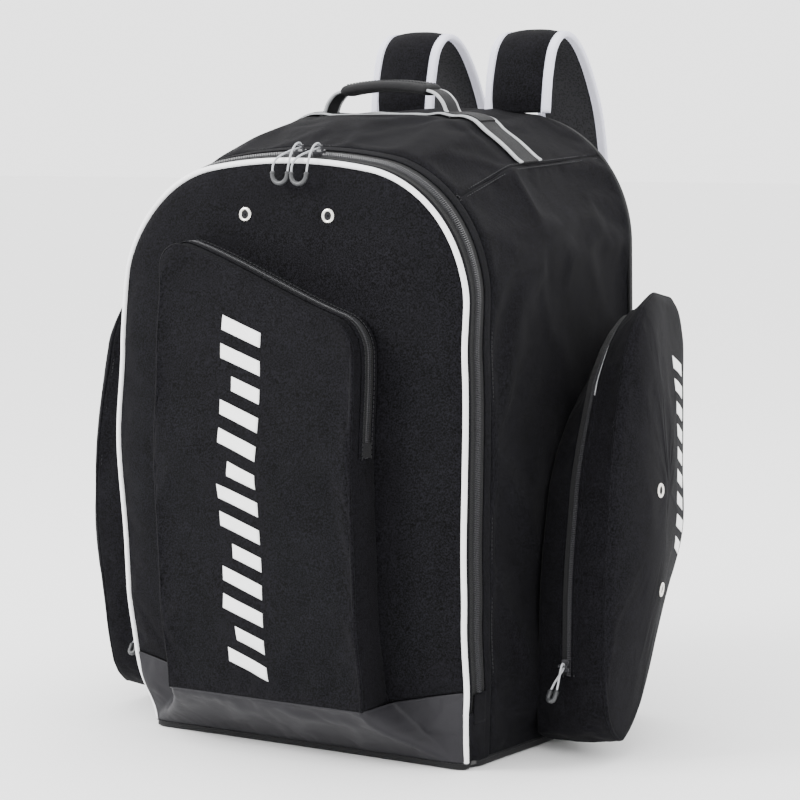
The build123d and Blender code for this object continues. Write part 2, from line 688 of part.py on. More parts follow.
def cord_radii(points):
    """Largest arc radius that each corner's two runs allow."""
    radii = []
    for before, corner, after in zip(points, points[1:], points[2:]):
        run_in = corner - before
        run_out = after - corner
        half_turn = radians(run_in.get_angle(run_out) / 2)
        radii.append(0.45 * min(run_in.length, run_out.length) / tan(half_turn))
    return radii


def save_pull(bar, out, across, route, name):
    """Cord loop round a slider's bar, and the moulded clip that holds its two ends."""
    points = [bar + out * p[0] + Vector(0, 0, 1) * p[1] + across * p[2] for p in route]
    radii = cord_radii(points)
    with BuildPart() as cord:
        with BuildLine() as path:
            FilletPolyline(*points, radius=radii)
        with BuildSketch(Plane(path.line @ 0, z_dir=path.line % 0)):
            Circle(CORD_R)
        sweep(path=path.line)
    length = sum(edge.length for edge in path.edges())
    volume_ratio = cord.part.volume / (pi * CORD_R**2 * length)
    print(f"{name}: length {length:.1f}, least radius {min(radii):.1f}, volume ratio {volume_ratio:.4f}")
    save(cord, f"{name}_cord")

    start, end = points[0], points[-1]
    reach = (((start - points[1]) + (end - points[-2])) * 0.5).normalized()
    side = (end - start).normalized()
    along = (reach - side * reach.dot(side)).normalized()
    bend = (end - start).length / 2
    with BuildPart() as clip:
        with BuildLine() as path:
            Line(start, start + along * CLIP_ARM)
            bottom = (start + end) * 0.5 + along * (CLIP_ARM + bend)
            ThreePointArc(start + along * CLIP_ARM, bottom, end + along * CLIP_ARM)
            Line(end + along * CLIP_ARM, end)
        with BuildSketch(Plane(start, z_dir=along)):
            Circle(CLIP_R)
        sweep(path=path.line)
    save(clip, f"{name}_clip")


UP = Vector(0, 0, 1)
BAR_HEIGHT = SLIDER_T + BAR_RISE
CLEAR = 0.5

top_slope = (RIDGE_HEIGHT - FRONT_HEIGHT) / (RIDGE_Y - FRONT_Y)
for name, x in MAIN_SLIDERS.items():
    chain_top = Vector(x, ZIP_Y, top_at(x, ZIP_Y) + CHAIN_OUT + CLEAR)
    base = Plane(chain_top, x_dir=(1, 0, 0), z_dir=(0, -top_slope, 1))
    save_slider(base, SLIDER_L, SLIDER_W, f"main_slider_{name}")
    bar = base.from_local_coords((0, 0, BAR_HEIGHT))
    save_pull(bar, Vector(0, -1, 0), Vector(1, 0, 0), MAIN_CORD, f"main_pull_{name}")

chain_side = Vector(POCKET_LEFT - 1.6 - CLEAR, POCKET_ZIP_Y, FRONT_SLIDER_Z)
base = Plane(chain_side, x_dir=(0, -1, 0), z_dir=(-1, 0, 0))
save_slider(base, SLIDER_W, SLIDER_L, "front_pocket_slider")
bar = base.from_local_coords((0, 0, BAR_HEIGHT))
save_pull(bar, Vector(-1, 0, 0), Vector(0, -1, 0), FRONT_CORD, "front_pocket_pull")

section = side_section(ZIP_MID)
lean = (section[1][0] - section[0][0]) / (section[1][1] - section[0][1])
for side, name in ((1, "right"), (-1, "left")):
    chain_y = section[0][0] + lean * (SIDE_SLIDER_Z - section[0][1]) - SIDE_ZIP_T - 3 * CLEAR
    foot = (side * ZIP_MID, pocket_y(side, chain_y), SIDE_SLIDER_Z)
    base = Plane(foot, x_dir=(1, 0, 0), z_dir=(0, -1, lean))
    save_slider(base, SLIDER_W, SLIDER_L, f"side_slider_{name}")
    bar = base.from_local_coords((0, 0, BAR_HEIGHT))
    save_pull(bar, Vector(0, -1, 0), Vector(1, 0, 0), SIDE_CORD, f"side_pull_{name}")
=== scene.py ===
"""Looks of the skate bag: soft fabric shells, piping, zippers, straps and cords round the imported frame."""
import json
import math

import bpy
import numpy as np
from mathutils import Matrix, Vector
from mathutils.bvhtree import BVHTree


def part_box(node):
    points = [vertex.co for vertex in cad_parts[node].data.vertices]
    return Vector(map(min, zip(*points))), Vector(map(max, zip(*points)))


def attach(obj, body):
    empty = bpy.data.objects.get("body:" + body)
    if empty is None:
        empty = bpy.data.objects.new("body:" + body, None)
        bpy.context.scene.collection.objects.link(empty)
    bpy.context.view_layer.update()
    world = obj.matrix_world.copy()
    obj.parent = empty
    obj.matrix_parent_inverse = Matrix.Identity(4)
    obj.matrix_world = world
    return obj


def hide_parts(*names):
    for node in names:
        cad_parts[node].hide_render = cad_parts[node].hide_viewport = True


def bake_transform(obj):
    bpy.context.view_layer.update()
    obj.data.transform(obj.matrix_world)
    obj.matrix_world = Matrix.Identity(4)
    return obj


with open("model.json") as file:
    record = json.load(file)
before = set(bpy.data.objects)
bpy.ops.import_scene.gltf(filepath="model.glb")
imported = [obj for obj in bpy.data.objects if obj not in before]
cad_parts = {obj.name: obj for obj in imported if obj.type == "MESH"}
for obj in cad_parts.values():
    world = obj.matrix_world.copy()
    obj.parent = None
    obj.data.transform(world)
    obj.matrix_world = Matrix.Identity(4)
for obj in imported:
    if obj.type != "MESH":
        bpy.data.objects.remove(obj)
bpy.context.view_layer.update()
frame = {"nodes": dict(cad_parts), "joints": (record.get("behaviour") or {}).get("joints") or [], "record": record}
MM = 0.001

# Sizes read from the frame, in metres
back_low, back_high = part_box("back_panel")
pocket_low, pocket_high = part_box("front_pocket_gusset")
web_low, web_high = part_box("top_webbing")
HALF = (back_high[0] - back_low[0]) / 2
FRONT_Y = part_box("front_panel")[0][1]
BACK_Y = back_high[1]
DEPTH = BACK_Y - FRONT_Y
ZIP_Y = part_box("flap_zip_teeth")[1][1] + 0.3 * MM
TAPE_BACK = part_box("front_gusset")[1][1]
FLOOR_Z = back_low[2]
POCKET_LEFT, POCKET_RIGHT = pocket_low[0], pocket_high[0]
POCKET_FOOT = pocket_low[2]
POCKET_DEPTH = FRONT_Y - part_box("front_pocket_face")[0][1]
BAND_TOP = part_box("flap_skirt")[1][2]
SIDES = (("right", 1), ("left", -1))

# The arch: a wide crown arc between two shoulder arcs
CROWN_R = 600 * MM
CROWN_HALF = 100 * MM
CROWN_ANGLE = math.asin(CROWN_HALF / CROWN_R)
SHOULDER_R = (HALF - CROWN_HALF) / (1 - CROWN_HALF / CROWN_R)
SHOULDER_X = HALF - SHOULDER_R
SHOULDER_DROP = CROWN_R - (CROWN_R - SHOULDER_R) * math.cos(CROWN_ANGLE)
FRONT_APEX = 620 * MM
RIDGE_APEX = 660 * MM
RIDGE_Y = -20 * MM
BACK_APEX = 667 * MM
# Where the top panel meets the side panels, as a parameter of arch()
SEAM_T = 1.465


def smooth(edge0, edge1, value):
    """Smooth step from 0 at edge0 to 1 at edge1."""
    t = np.clip((np.asarray(value, float) - edge0) / (edge1 - edge0), 0, 1)
    return t * t * (3 - 2 * t)


def curve_through(xs, ys, value):
    """Cosine-eased interpolation through a few design points."""
    value = np.clip(value, xs[0], xs[-1])
    index = np.clip(np.searchsorted(xs, value, side="right") - 1, 0, len(xs) - 2)
    xs, ys = np.asarray(xs, float), np.asarray(ys, float)
    t = (value - xs[index]) / (xs[index + 1] - xs[index])
    t = t * t * (3 - 2 * t)
    return ys[index] * (1 - t) + ys[index + 1] * t


# ---------------------------------------------------------------- the soft arch surface

FOOT_SOFT = 90 * MM
CORNER_R = 30 * MM
SIDE_BILLOW = 7 * MM
SIDE_TOP = 0.56
TOP_SWELL = 6 * MM
# How far the front bows out, and how far its sides flare, at a few heights
BOW_Z = [0, 0.07, 0.16, 0.31, 0.42, 0.50, 0.58, 0.7]
BOW_OUT = [-0.009, 0.004, 0.013, 0.017, 0.010, 0.003, 0.0, 0.0]
FLARE_Z = [0, 0.06, 0.2, 0.33, 0.45, 0.6]
FLARE_OUT = [-0.006, -0.002, 0.002, 0.007, 0.003, 0.0]


def soften(points):
    """Lets a point of the taut pattern sag and billow as filled fabric does."""
    p = np.array(points, float).reshape(-1, 3)
    x, y, z = p[:, 0].copy(), p[:, 1].copy(), p[:, 2].copy()
    to_front = smooth(0.04, FRONT_Y, y)
    bow = curve_through(BOW_Z, BOW_OUT, z)
    middle = 1 - np.clip(np.abs(x) / HALF, 0, 1) ** 2
    p[:, 1] -= bow * to_front * (1 + 0.25 * middle)
    beside = smooth(0.5, 1.0, np.abs(x) / HALF)
    along = np.clip((y - FRONT_Y) / DEPTH, 0, 1)
    billow = SIDE_BILLOW * np.sin(np.pi * along) * np.sin(np.pi * np.clip(z / SIDE_TOP, 0, 1))
    flare = to_front * curve_through(FLARE_Z, FLARE_OUT, z)
    p[:, 0] += np.sign(x) * beside * (billow + flare)
    foot = smooth(FOOT_SOFT, 0.0, z)
    p[:, 0] -= np.sign(x) * beside * 6 * MM * foot
    over_x = np.maximum(np.abs(p[:, 0]) - (HALF - CORNER_R), 0)
    over_y = np.maximum(np.abs(y) - (DEPTH / 2 - CORNER_R), 0)
    shrink = np.maximum(over_x, over_y) / np.maximum(np.hypot(over_x, over_y), 1e-9)
    shrink = np.where((over_x > 0) & (over_y > 0), 1 - foot * (1 - shrink), 1)
    p[:, 0] -= np.sign(x) * over_x * (1 - shrink)
    p[:, 1] -= np.sign(y) * over_y * (1 - shrink)
    top = smooth(SIDE_TOP, 0.63, z) * (1 - smooth(0.1, 0.2, np.abs(x)))
    p[:, 2] += TOP_SWELL * top * np.exp(-(((y + 0.045) / 0.075) ** 2))
    return p.reshape(np.shape(points))


def apex_at(y):
    """Height of the arch's highest line at depth y."""
    return np.interp(y, [FRONT_Y, RIDGE_Y, BACK_Y], [FRONT_APEX, RIDGE_APEX, BACK_APEX])


def arch(t, y, grow=0.0):
    """Point of the arch: |t| 0-1 is the crown, 1-2 a shoulder, 2-3 the upright side down to the base."""
    t, y, grow = np.broadcast_arrays(np.asarray(t, float), np.asarray(y, float), np.asarray(grow, float))
    a = np.abs(t)
    apex = apex_at(y)
    shoulder_z = apex - SHOULDER_DROP
    crown = a * CROWN_ANGLE
    turn = CROWN_ANGLE + np.clip(a - 1, 0, 1) * (np.pi / 2 - CROWN_ANGLE)
    x = np.where(a <= 1, (CROWN_R + grow) * np.sin(crown), SHOULDER_X + (SHOULDER_R + grow) * np.sin(turn))
    z_crown = apex - CROWN_R + (CROWN_R + grow) * np.cos(crown)
    z_shoulder = shoulder_z + (SHOULDER_R + grow) * np.cos(turn)
    z = np.where(a <= 1, z_crown, z_shoulder)
    z = np.where(a > 2, shoulder_z - (a - 2) * (shoulder_z - FLOOR_Z), z)
    return np.stack([np.sign(t) * x, y, z], axis=-1)


def bag_surface(t, y, grow=0.0):
    """Point of the softened arch."""
    return soften(arch(t, y, grow))


def t_at_height(z, y):
    """Parameter of the upright side at height z."""
    shoulder_z = apex_at(y) - SHOULDER_DROP
    return 2 + (shoulder_z - z) / (shoulder_z - FLOOR_Z)


def arch_steps(t_max=3.0, fine=1.0):
    """Evenly spread parameters from -t_max to t_max over the arch."""
    lengths = [CROWN_R * CROWN_ANGLE, SHOULDER_R * (np.pi / 2 - CROWN_ANGLE),
               FRONT_APEX - SHOULDER_DROP - FLOOR_Z]
    half = [0.0]
    for start, length in enumerate(lengths):
        count = max(4, int(length / (6 * MM) * fine))
        half += list(start + (np.arange(count) + 1) / count)
    half = np.array([t for t in half if t < t_max - 1e-6] + [t_max])
    return np.concatenate([-half[:0:-1], half])


# ---------------------------------------------------------------- mesh helpers

def make_object(name, verts, faces, smooth_shade=True):
    mesh = bpy.data.meshes.new(name)
    mesh.from_pydata([tuple(v) for v in verts], [], faces)
    mesh.validate()
    mesh.update()
    if smooth_shade:
        mesh.polygons.foreach_set("use_smooth", [True] * len(mesh.polygons))
    obj = bpy.data.objects.new(name, mesh)
    bpy.context.scene.collection.objects.link(obj)
    return obj


def grid_object(name, grid, close_v=False, close_u=False):
    """Mesh over a grid of points, grid[u][v]."""
    grid = np.asarray(grid, float)
    nu, nv = grid.shape[:2]
    faces = []
    for i in range(nu if close_u else nu - 1):
        for j in range(nv if close_v else nv - 1):
            a, b = i * nv + j, i * nv + (j + 1) % nv
            c, d = ((i + 1) % nu) * nv + (j + 1) % nv, ((i + 1) % nu) * nv + j
            faces.append((a, b, c, d))
    return make_object(name, grid.reshape(-1, 3), faces)


def modify(obj, kind, **settings):
    modifier = obj.modifiers.new(kind.lower(), kind)
    for key, value in settings.items():
        setattr(modifier, key, value)
    return modifier


def bake_modifiers(obj):
    """Replaces the mesh by its evaluated one, so that no modifier is left."""
    bpy.context.view_layer.update()
    evaluated = obj.evaluated_get(bpy.context.evaluated_depsgraph_get())
    mesh = bpy.data.meshes.new_from_object(evaluated)
    mesh.name = obj.name
    obj.modifiers.clear()
    obj.data = mesh
    return obj


def thicken(obj, thickness, offset=-1.0):
    """Gives a sheet its cloth thickness, towards the inside unless told otherwise."""
    modify(obj, "SOLIDIFY", thickness=thickness, offset=offset, use_even_offset=False)
    return bake_modifiers(obj)


def tangents_of(path):
    path = np.asarray(path, float)
    return unit(np.gradient(path, axis=0))


def unit(v):
    v = np.asarray(v, float)
    return v / np.maximum(np.linalg.norm(v, axis=-1, keepdims=True), 1e-12)


def resample(path, step):
    """Points evenly spaced along a polyline."""
    path = np.asarray(path, float)
    lengths = np.concatenate([[0], np.cumsum(np.linalg.norm(np.diff(path, axis=0), axis=1))])
    count = max(2, int(round(lengths[-1] / step)) + 1)
    wanted = np.linspace(0, lengths[-1], count)
    return np.stack([np.interp(wanted, lengths, path[:, k]) for k in range(3)], axis=1)


def swept(name, path, normals, profile, closed=False, scale=None):
    """Closed profile of (across, out) pairs carried along a path, with caps at open ends."""
    path = np.asarray(path, float)
    along = tangents_of(path)
    if closed:
        along = unit(np.roll(path, -1, axis=0) - np.roll(path, 1, axis=0))
    out = np.asarray(normals, float)
    out = unit(out - np.sum(out * along, axis=1, keepdims=True) * along)
    across = np.cross(along, out)
    profile = np.asarray(profile, float)
    scale = np.ones((len(path), 2)) if scale is None else np.asarray(scale, float)
    rings = (path[:, None, :] + across[:, None, :] * profile[None, :, :1] * scale[:, None, :1]
             + out[:, None, :] * profile[None, :, 1:] * scale[:, None, 1:])
    obj = grid_object(name, rings, close_v=True, close_u=closed)
    if not closed:
        count = len(profile)
        total = len(path) * count
        mesh = obj.data
        faces = [tuple(p.vertices) for p in mesh.polygons]
        faces.append(tuple(range(count))[::-1])
        faces.append(tuple(range(total - count, total)))
        verts = rings.reshape(-1, 3)
        bpy.data.objects.remove(obj)
        obj = make_object(name, verts, faces)
    return obj


def round_profile(radius, count=10):
    angles = np.linspace(0, 2 * np.pi, count, endpoint=False)
    return np.stack([radius * np.cos(angles), radius * np.sin(angles)], axis=1)


def slab_profile(width, thickness, corner=0.45, count=4):
    """Rounded flat section, width across and thickness out, centred."""
    r = thickness * corner
    points = []
    for cx, cy, start in ((1, 1, 0), (-1, 1, 90), (-1, -1, 180), (1, -1, 270)):
        for k in range(count):
            angle = math.radians(start + 90 * k / (count - 1))
            points.append((cx * (width / 2 - r) + r * math.cos(angle),
                           cy * (thickness / 2 - r) + r * math.sin(angle)))
    return np.array(points)


def join(objects, name):
    """Joins meshes into one named object."""
    bpy.ops.object.select_all(action="DESELECT")
    for obj in objects:
        obj.select_set(True)
    bpy.context.view_layer.objects.active = objects[0]
    bpy.ops.object.join()
    objects[0].name = name
    objects[0].data.name = name
    return objects[0]


def teeth_object(name, origins, along, across, out, size):
    """One bevelled block per tooth, size being (along, across, out)."""
    a, b, c = np.asarray(size) / 2
    template = np.array([(i * a, j * b, -c) for i, j in ((-1, -1), (1, -1), (1, 1), (-1, 1))]
                        + [(i * a, j * b, 0.2 * c) for i, j in ((-1, -1), (1, -1), (1, 1), (-1, 1))]
                        + [(i * a * 0.5, j * b * 0.8, c) for i, j in ((-1, -1), (1, -1), (1, 1), (-1, 1))])
    quads = [(0, 3, 2, 1), (8, 9, 10, 11)]
    for level in (0, 4):
        for k in range(4):
            quads.append((level + k, level + (k + 1) % 4, level + 4 + (k + 1) % 4, level + 4 + k))
    verts = (origins[:, None, :] + along[:, None, :] * template[None, :, :1]
             + across[:, None, :] * template[None, :, 1:2] + out[:, None, :] * template[None, :, 2:])
    faces = [tuple(q + 12 * n for q in quad) for n in range(len(origins)) for quad in quads]
    return make_object(name, verts.reshape(-1, 3), faces, smooth_shade=False)


# ---------------------------------------------------------------- materials

class Nodes:
    """Short way to write a node tree."""

    def __init__(self, name):
        self.material = bpy.data.materials.new(name)
        self.material.use_nodes = True
        self.tree = self.material.node_tree
        self.tree.nodes.clear()
        self.output = self.tree.nodes.new("ShaderNodeOutputMaterial")
        self.shader = self.tree.nodes.new("ShaderNodeBsdfPrincipled")
        self.tree.links.new(self.shader.outputs[0], self.output.inputs[0])
        self.coords = self.tree.nodes.new("ShaderNodeTexCoord").outputs["Object"]

    def put(self, socket, value):
        if hasattr(value, "is_output"):
            self.tree.links.new(value, socket)
        else:
            socket.default_value = value

    def math(self, operation, a, b=0.0):
        node = self.tree.nodes.new("ShaderNodeMath")
        node.operation = operation
        self.put(node.inputs[0], a)
        self.put(node.inputs[1], b)
        return node.outputs[0]

    def noise(self, scale, detail=2.0, rough=0.5):
        node = self.tree.nodes.new("ShaderNodeTexNoise")
        self.put(node.inputs["Vector"], self.coords)
        self.put(node.inputs["Scale"], scale)
        self.put(node.inputs["Detail"], detail)
        self.put(node.inputs["Roughness"], rough)
        return node.outputs["Fac"]

    def ramp(self, factor, low, high, start=0.3, end=0.7):
        node = self.tree.nodes.new("ShaderNodeMapRange")
        self.put(node.inputs["Value"], factor)
        self.put(node.inputs["From Min"], start)
        self.put(node.inputs["From Max"], end)
        self.put(node.inputs["To Min"], low)
        self.put(node.inputs["To Max"], high)
        return node.outputs[0]

    def tint(self, color, factor):
        """Colour multiplied by a factor."""
        node = self.tree.nodes.new("ShaderNodeVectorMath")
        node.operation = "SCALE"
        node.inputs[0].default_value = color
        self.put(node.inputs["Scale"], factor)
        return node.outputs[0]

    def weave(self, pitch):
        """Plain weave on any surface: a product of sines in the plane that the surface faces."""
        scale = self.tree.nodes.new("ShaderNodeVectorMath")
        scale.operation = "SCALE"
        self.put(scale.inputs[0], self.coords)
        scale.inputs["Scale"].default_value = 2 * math.pi / pitch
        parts = self.tree.nodes.new("ShaderNodeSeparateXYZ")
        self.put(parts.inputs[0], scale.outputs[0])
        waves = [self.math("SINE", parts.outputs[k]) for k in range(3)]
        geometry = self.tree.nodes.new("ShaderNodeNewGeometry")
        facing = self.tree.nodes.new("ShaderNodeSeparateXYZ")
        self.put(facing.inputs[0], geometry.outputs["Normal"])
        total = 0.0
        for k in range(3):
            plane = self.math("MULTIPLY", waves[(k + 1) % 3], waves[(k + 2) % 3])
            weight = self.math("POWER", self.math("ABSOLUTE", facing.outputs[k]), 2.0)
            total = self.math("ADD", total, self.math("MULTIPLY", plane, weight))
        return total

    def bump(self, height, distance, strength=1.0, under=None):
        node = self.tree.nodes.new("ShaderNodeBump")
        self.put(node.inputs["Height"], height)
        node.inputs["Distance"].default_value = distance
        node.inputs["Strength"].default_value = strength
        if under is not None:
            self.put(node.inputs["Normal"], under)
        return node.outputs[0]

    def finish(self, color, roughness, normal=None, **fixed):
        self.put(self.shader.inputs["Base Color"], color)
        self.put(self.shader.inputs["Roughness"], roughness)
        if normal is not None:
            self.put(self.shader.inputs["Normal"], normal)
        for key, value in fixed.items():
            self.shader.inputs[key.replace("_", " ")].default_value = value
        return self.material


def cloth_material(name, color, pitch=1.3 * MM, rough=0.82, spread=0.95, crease=0.0022, sheen=0.012):
    """Woven polyester: weave and thread grain, slight colour change, soft creases."""
    n = Nodes(name)
    weave = n.weave(pitch)
    grain = n.noise(620, 1.0, 0.4)
    patches = n.noise(28, 3.0)
    shade = n.math("ADD", n.ramp(grain, 1 - spread, 1 + spread, 0.32, 0.68),
                   n.ramp(patches, -0.15, 0.15))
    shade = n.math("ADD", shade, n.math("MULTIPLY", weave, 0.3))
    soft = n.bump(n.noise(34, 3.0, 0.55), crease, 0.5)
    normal = n.bump(n.math("ADD", weave, n.math("MULTIPLY", grain, 1.2)), 0.14 * MM, 0.8, under=soft)
    roughness = n.ramp(grain, rough - 0.1, rough + 0.08)
    return n.finish(n.tint(color, shade), roughness, normal, Specular_IOR_Level=0.06,
                    Sheen_Weight=sheen, Sheen_Roughness=0.5)


def tarpaulin_material():
    n = Nodes("tarpaulin")
    fine = n.noise(900, 2.0)
    broad = n.noise(22, 3.0)
    shade = n.math("ADD", n.ramp(fine, 0.92, 1.08), n.ramp(broad, -0.1, 0.1))
    soft = n.bump(broad, 2.0 * MM, 0.35)
    normal = n.bump(n.math("ADD", fine, n.weave(1.4 * MM)), 0.05 * MM, 0.5, under=soft)
    return n.finish(n.tint((0.018, 0.0175, 0.020), shade), n.ramp(broad, 0.42, 0.56), normal,
                    Specular_IOR_Level=0.13)


def vinyl_material(name, color, rough=0.42):
    n = Nodes(name)
    fine = n.noise(700, 2.0)
    wear = n.noise(45, 4.0)
    shade = n.math("ADD", n.ramp(fine, 0.97, 1.03), n.ramp(wear, -0.05, 0.03))
    return n.finish(n.tint(color, shade), n.ramp(wear, rough - 0.05, rough + 0.1),
                    n.bump(fine, 0.08 * MM, 0.5))


def ribbed_material(name, color, pitch=1.6 * MM, rough=0.7, depth=0.25 * MM, spread=0.2):
    """Narrow-woven webbing or tape with close ribs."""
    n = Nodes(name)
    ribs = n.weave(pitch)
    grain = n.noise(1500, 2.0)
    shade = n.math("ADD", n.ramp(grain, 1 - spread, 1 + spread), n.math("MULTIPLY", ribs, 0.25))
    normal = n.bump(n.math("ADD", ribs, n.math("MULTIPLY", grain, 0.6)), depth, 0.8)
    return n.finish(n.tint(color, shade), rough, normal, Specular_IOR_Level=0.2, Sheen_Weight=0.03)


def mesh_material(name, color):
    """Spacer mesh: open honeycomb cells over foam."""
    n = Nodes(name)
    cells = n.tree.nodes.new("ShaderNodeTexVoronoi")
    n.put(cells.inputs["Vector"], n.coords)
    cells.inputs["Scale"].default_value = 420
    holes = n.ramp(cells.outputs["Distance"], 0.35, 1.25, 0.1, 0.6)
    return n.finish(n.tint(color, holes), 0.85, n.bump(cells.outputs["Distance"], 0.6 * MM, 0.9),
                    Specular_IOR_Level=0.25)


def metal_material(name, color, rough, metallic=1.0):
    n = Nodes(name)
    scratch = n.noise(500, 3.0)
    return n.finish(n.tint(color, n.ramp(scratch, 0.9, 1.08)),
                    n.ramp(scratch, rough - 0.06, rough + 0.1), n.bump(scratch, 0.03 * MM, 0.5),
                    Metallic=metallic)


def moulded_material(name, color, rough=0.38):
    n = Nodes(name)
    grain = n.noise(1200, 2.0)
    return n.finish(n.tint(color, n.ramp(grain, 0.9, 1.1)),
                    n.ramp(grain, rough - 0.04, rough + 0.06), n.bump(grain, 0.06 * MM, 0.5),
                    Specular_IOR_Level=0.5)


MATERIALS = {
    "fabric_black": cloth_material("fabric_black", (0.0042, 0.0041, 0.0052)),
    "tarpaulin": tarpaulin_material(),
    "piping_white": vinyl_material("piping_white", (0.84, 0.84, 0.85)),
    "binding_grey": ribbed_material("binding_grey", (0.70, 0.70, 0.80), pitch=1.2 * MM, depth=0.15 * MM,
                                    spread=0.08),
    "webbing_black": ribbed_material("webbing_black", (0.006, 0.006, 0.0068)),
    "mesh_black": mesh_material("mesh_black", (0.016, 0.016, 0.018)),
    "nickel": metal_material("nickel", (0.74, 0.72, 0.67), 0.24),
    "zipper_black": ribbed_material("zipper_black", (0.006, 0.006, 0.0065), pitch=1.0 * MM, rough=0.55),
    "slider_metal": metal_material("slider_metal", (0.06, 0.06, 0.065), 0.35, metallic=0.8),
    "cord_grey": ribbed_material("cord_grey", (0.42, 0.43, 0.45), pitch=1.1 * MM),
    "moulded_black": moulded_material("moulded_black", (0.028, 0.029, 0.031)),
    "foam_grey": moulded_material("foam_grey", (0.2, 0.2, 0.21), 0.9),
    "board_black": moulded_material("board_black", (0.03, 0.03, 0.03), 0.5),
}
COIL = moulded_material("zip_coil", (0.035, 0.035, 0.038), 0.32)
# Silver for the real edge stripes of the webbing; on the side zips the same material paints the coil's highlight.
SILVER_AND_HIGHLIGHT = ribbed_material("silver_stripe_and_highlight", (0.42, 0.43, 0.44), pitch=1.0 * MM, rough=0.38)
THREAD = ribbed_material("thread_grey", (0.26, 0.26, 0.27), pitch=0.6 * MM, rough=0.6)
DARK_THREAD = ribbed_material("thread_black", (0.016, 0.016, 0.018), pitch=0.6 * MM, rough=0.5)
TAPE_RIB = ribbed_material("tape_rib", (0.05, 0.05, 0.053), pitch=0.6 * MM, rough=0.45)
LINING = cloth_material("lining", (0.020, 0.020, 0.022), pitch=0.6 * MM, rough=0.6, spread=0.15)
PRINT = vinyl_material("print_white", (0.86, 0.86, 0.86), 0.5)


def dress(obj, slot, body=None, nodes=(), material=None):
    """Gives a piece its material, taken by slot unless one is given, parents it to its body and hides the CAD
    nodes that it stands for.
    """
    obj.data.materials.clear()
    obj.data.materials.append(material or MATERIALS[slot])
    if body:
        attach(obj, body)
    if nodes:
        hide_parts(*nodes)
    return obj


# ---------------------------------------------------------------- camera, light and floor

CAMERA_AZIMUTH = math.radians(34.1)
CAMERA_ELEVATION = math.radians(6.5)
CAMERA_ROLL = math.radians(-0.8)
CAMERA_DISTANCE = 3.075
CAMERA_LENS = 126.5
CAMERA_RIGHT = 0.0177
CAMERA_UP = 0.0346
LOOK_AT = Vector((0.0, 0.0, 0.320))


def add_camera():
    toward = Vector((math.sin(CAMERA_AZIMUTH) * math.cos(CAMERA_ELEVATION),
                     -math.cos(CAMERA_AZIMUTH) * math.cos(CAMERA_ELEVATION), math.sin(CAMERA_ELEVATION)))
    right = Vector((math.cos(CAMERA_AZIMUTH), math.sin(CAMERA_AZIMUTH), 0))
    up = toward.cross(right)
    place = LOOK_AT + toward * CAMERA_DISTANCE + right * CAMERA_RIGHT + up * CAMERA_UP
    c, s = math.cos(CAMERA_ROLL), math.sin(CAMERA_ROLL)
    right, up = right * c + up * s, up * c - right * s
    data = bpy.data.cameras.new("camera")
    data.lens = CAMERA_LENS
    data.sensor_width = 36
    camera = bpy.data.objects.new("camera", data)
    bpy.context.scene.collection.objects.link(camera)
    camera.matrix_world = Matrix((
        (right.x, up.x, toward.x, place.x),
        (right.y, up.y, toward.y, place.y),
        (right.z, up.z, toward.z, place.z),
        (0, 0, 0, 1),
    ))
    bpy.context.scene.camera = camera


def area_light(name, place, size, power, target=(0, 0, 0.33)):
    data = bpy.data.lights.new(name, "AREA")
    data.size = size
    data.energy = power
    light = bpy.data.objects.new(name, data)
    bpy.context.scene.collection.objects.link(light)
    light.location = place
    light.rotation_euler = (Vector(target) - Vector(place)).to_track_quat("-Z", "Y").to_euler()


WORLD_STRENGTH = 2.7


def add_studio():
    world = bpy.data.worlds.new("studio")
    world.use_nodes = True
    background = world.node_tree.nodes["Background"]
    background.inputs["Color"].default_value = (1.0, 1.0, 1.0, 1)
    background.inputs["Strength"].default_value = WORLD_STRENGTH
    bpy.context.scene.world = world
    area_light("key", (-1.6, -1.9, 1.9), 1.1, 90)
    area_light("side", (2.6, -0.9, 1.5), 1.2, 9)
    area_light("top", (0.2, 0.5, 2.6), 1.4, 12)
    area_light("rim", (1.0, 2.4, 1.6), 1.2, 9)
    floor = grid_object("studio_floor", [[(x, y, 0) for y in (-14, 14)] for x in (14, -14)])
    n = Nodes("studio_floor")
    floor.data.materials.append(n.finish((0.93, 0.93, 0.93, 1), 0.8))


add_camera()
add_studio()

# ---------------------------------------------------------------- zip pulls: cords and clips

CORD_D = 2.2 * MM
CLIP_R = 2.5 * MM
CLIP_ARM = {"main": 1.5 * MM, "side": 7 * MM, "front": 7 * MM}
MAIN_CORD = [(34.5, -27.0, -9.5), (33.0, -18.5, -10.8), (25.0, -10.5, -8.5), (12.5, -5.5, -3.6),
             (2.0, -3.0, -0.4), (-3.2, -2.0, 0.0), (-3.2, 2.0, 0.0), (2.0, 3.1, 0.4), (13.0, 0.5, 3.6),
             (26.0, -7.0, 8.5), (34.0, -17.0, 10.8), (34.5, -27.0, 9.5)]
FRONT_CORD = [(0.5, -15.0, -3.6), (-1.5, -8.5, -2.4), (-3.2, -1.5, -0.3), (-2.2, 2.8, 0.0), (2.2, 2.8, 0.0),
              (3.2, -1.5, 0.3), (1.8, -8.5, 2.4), (0.5, -15.0, 3.6)]
SIDE_CORD = [(19.0, -22.5, -3.6), (12.5, -16.0, -3.3), (5.0, -9.5, -2.0), (-1.8, -3.4, -0.3),
             (-3.4, 1.0, 0.0), (0.0, 3.6, 0.0), (3.6, 0.8, 0.3), (9.0, -5.5, 2.0), (14.5, -13.5, 3.3),
             (19.0, -22.5, 3.6)]


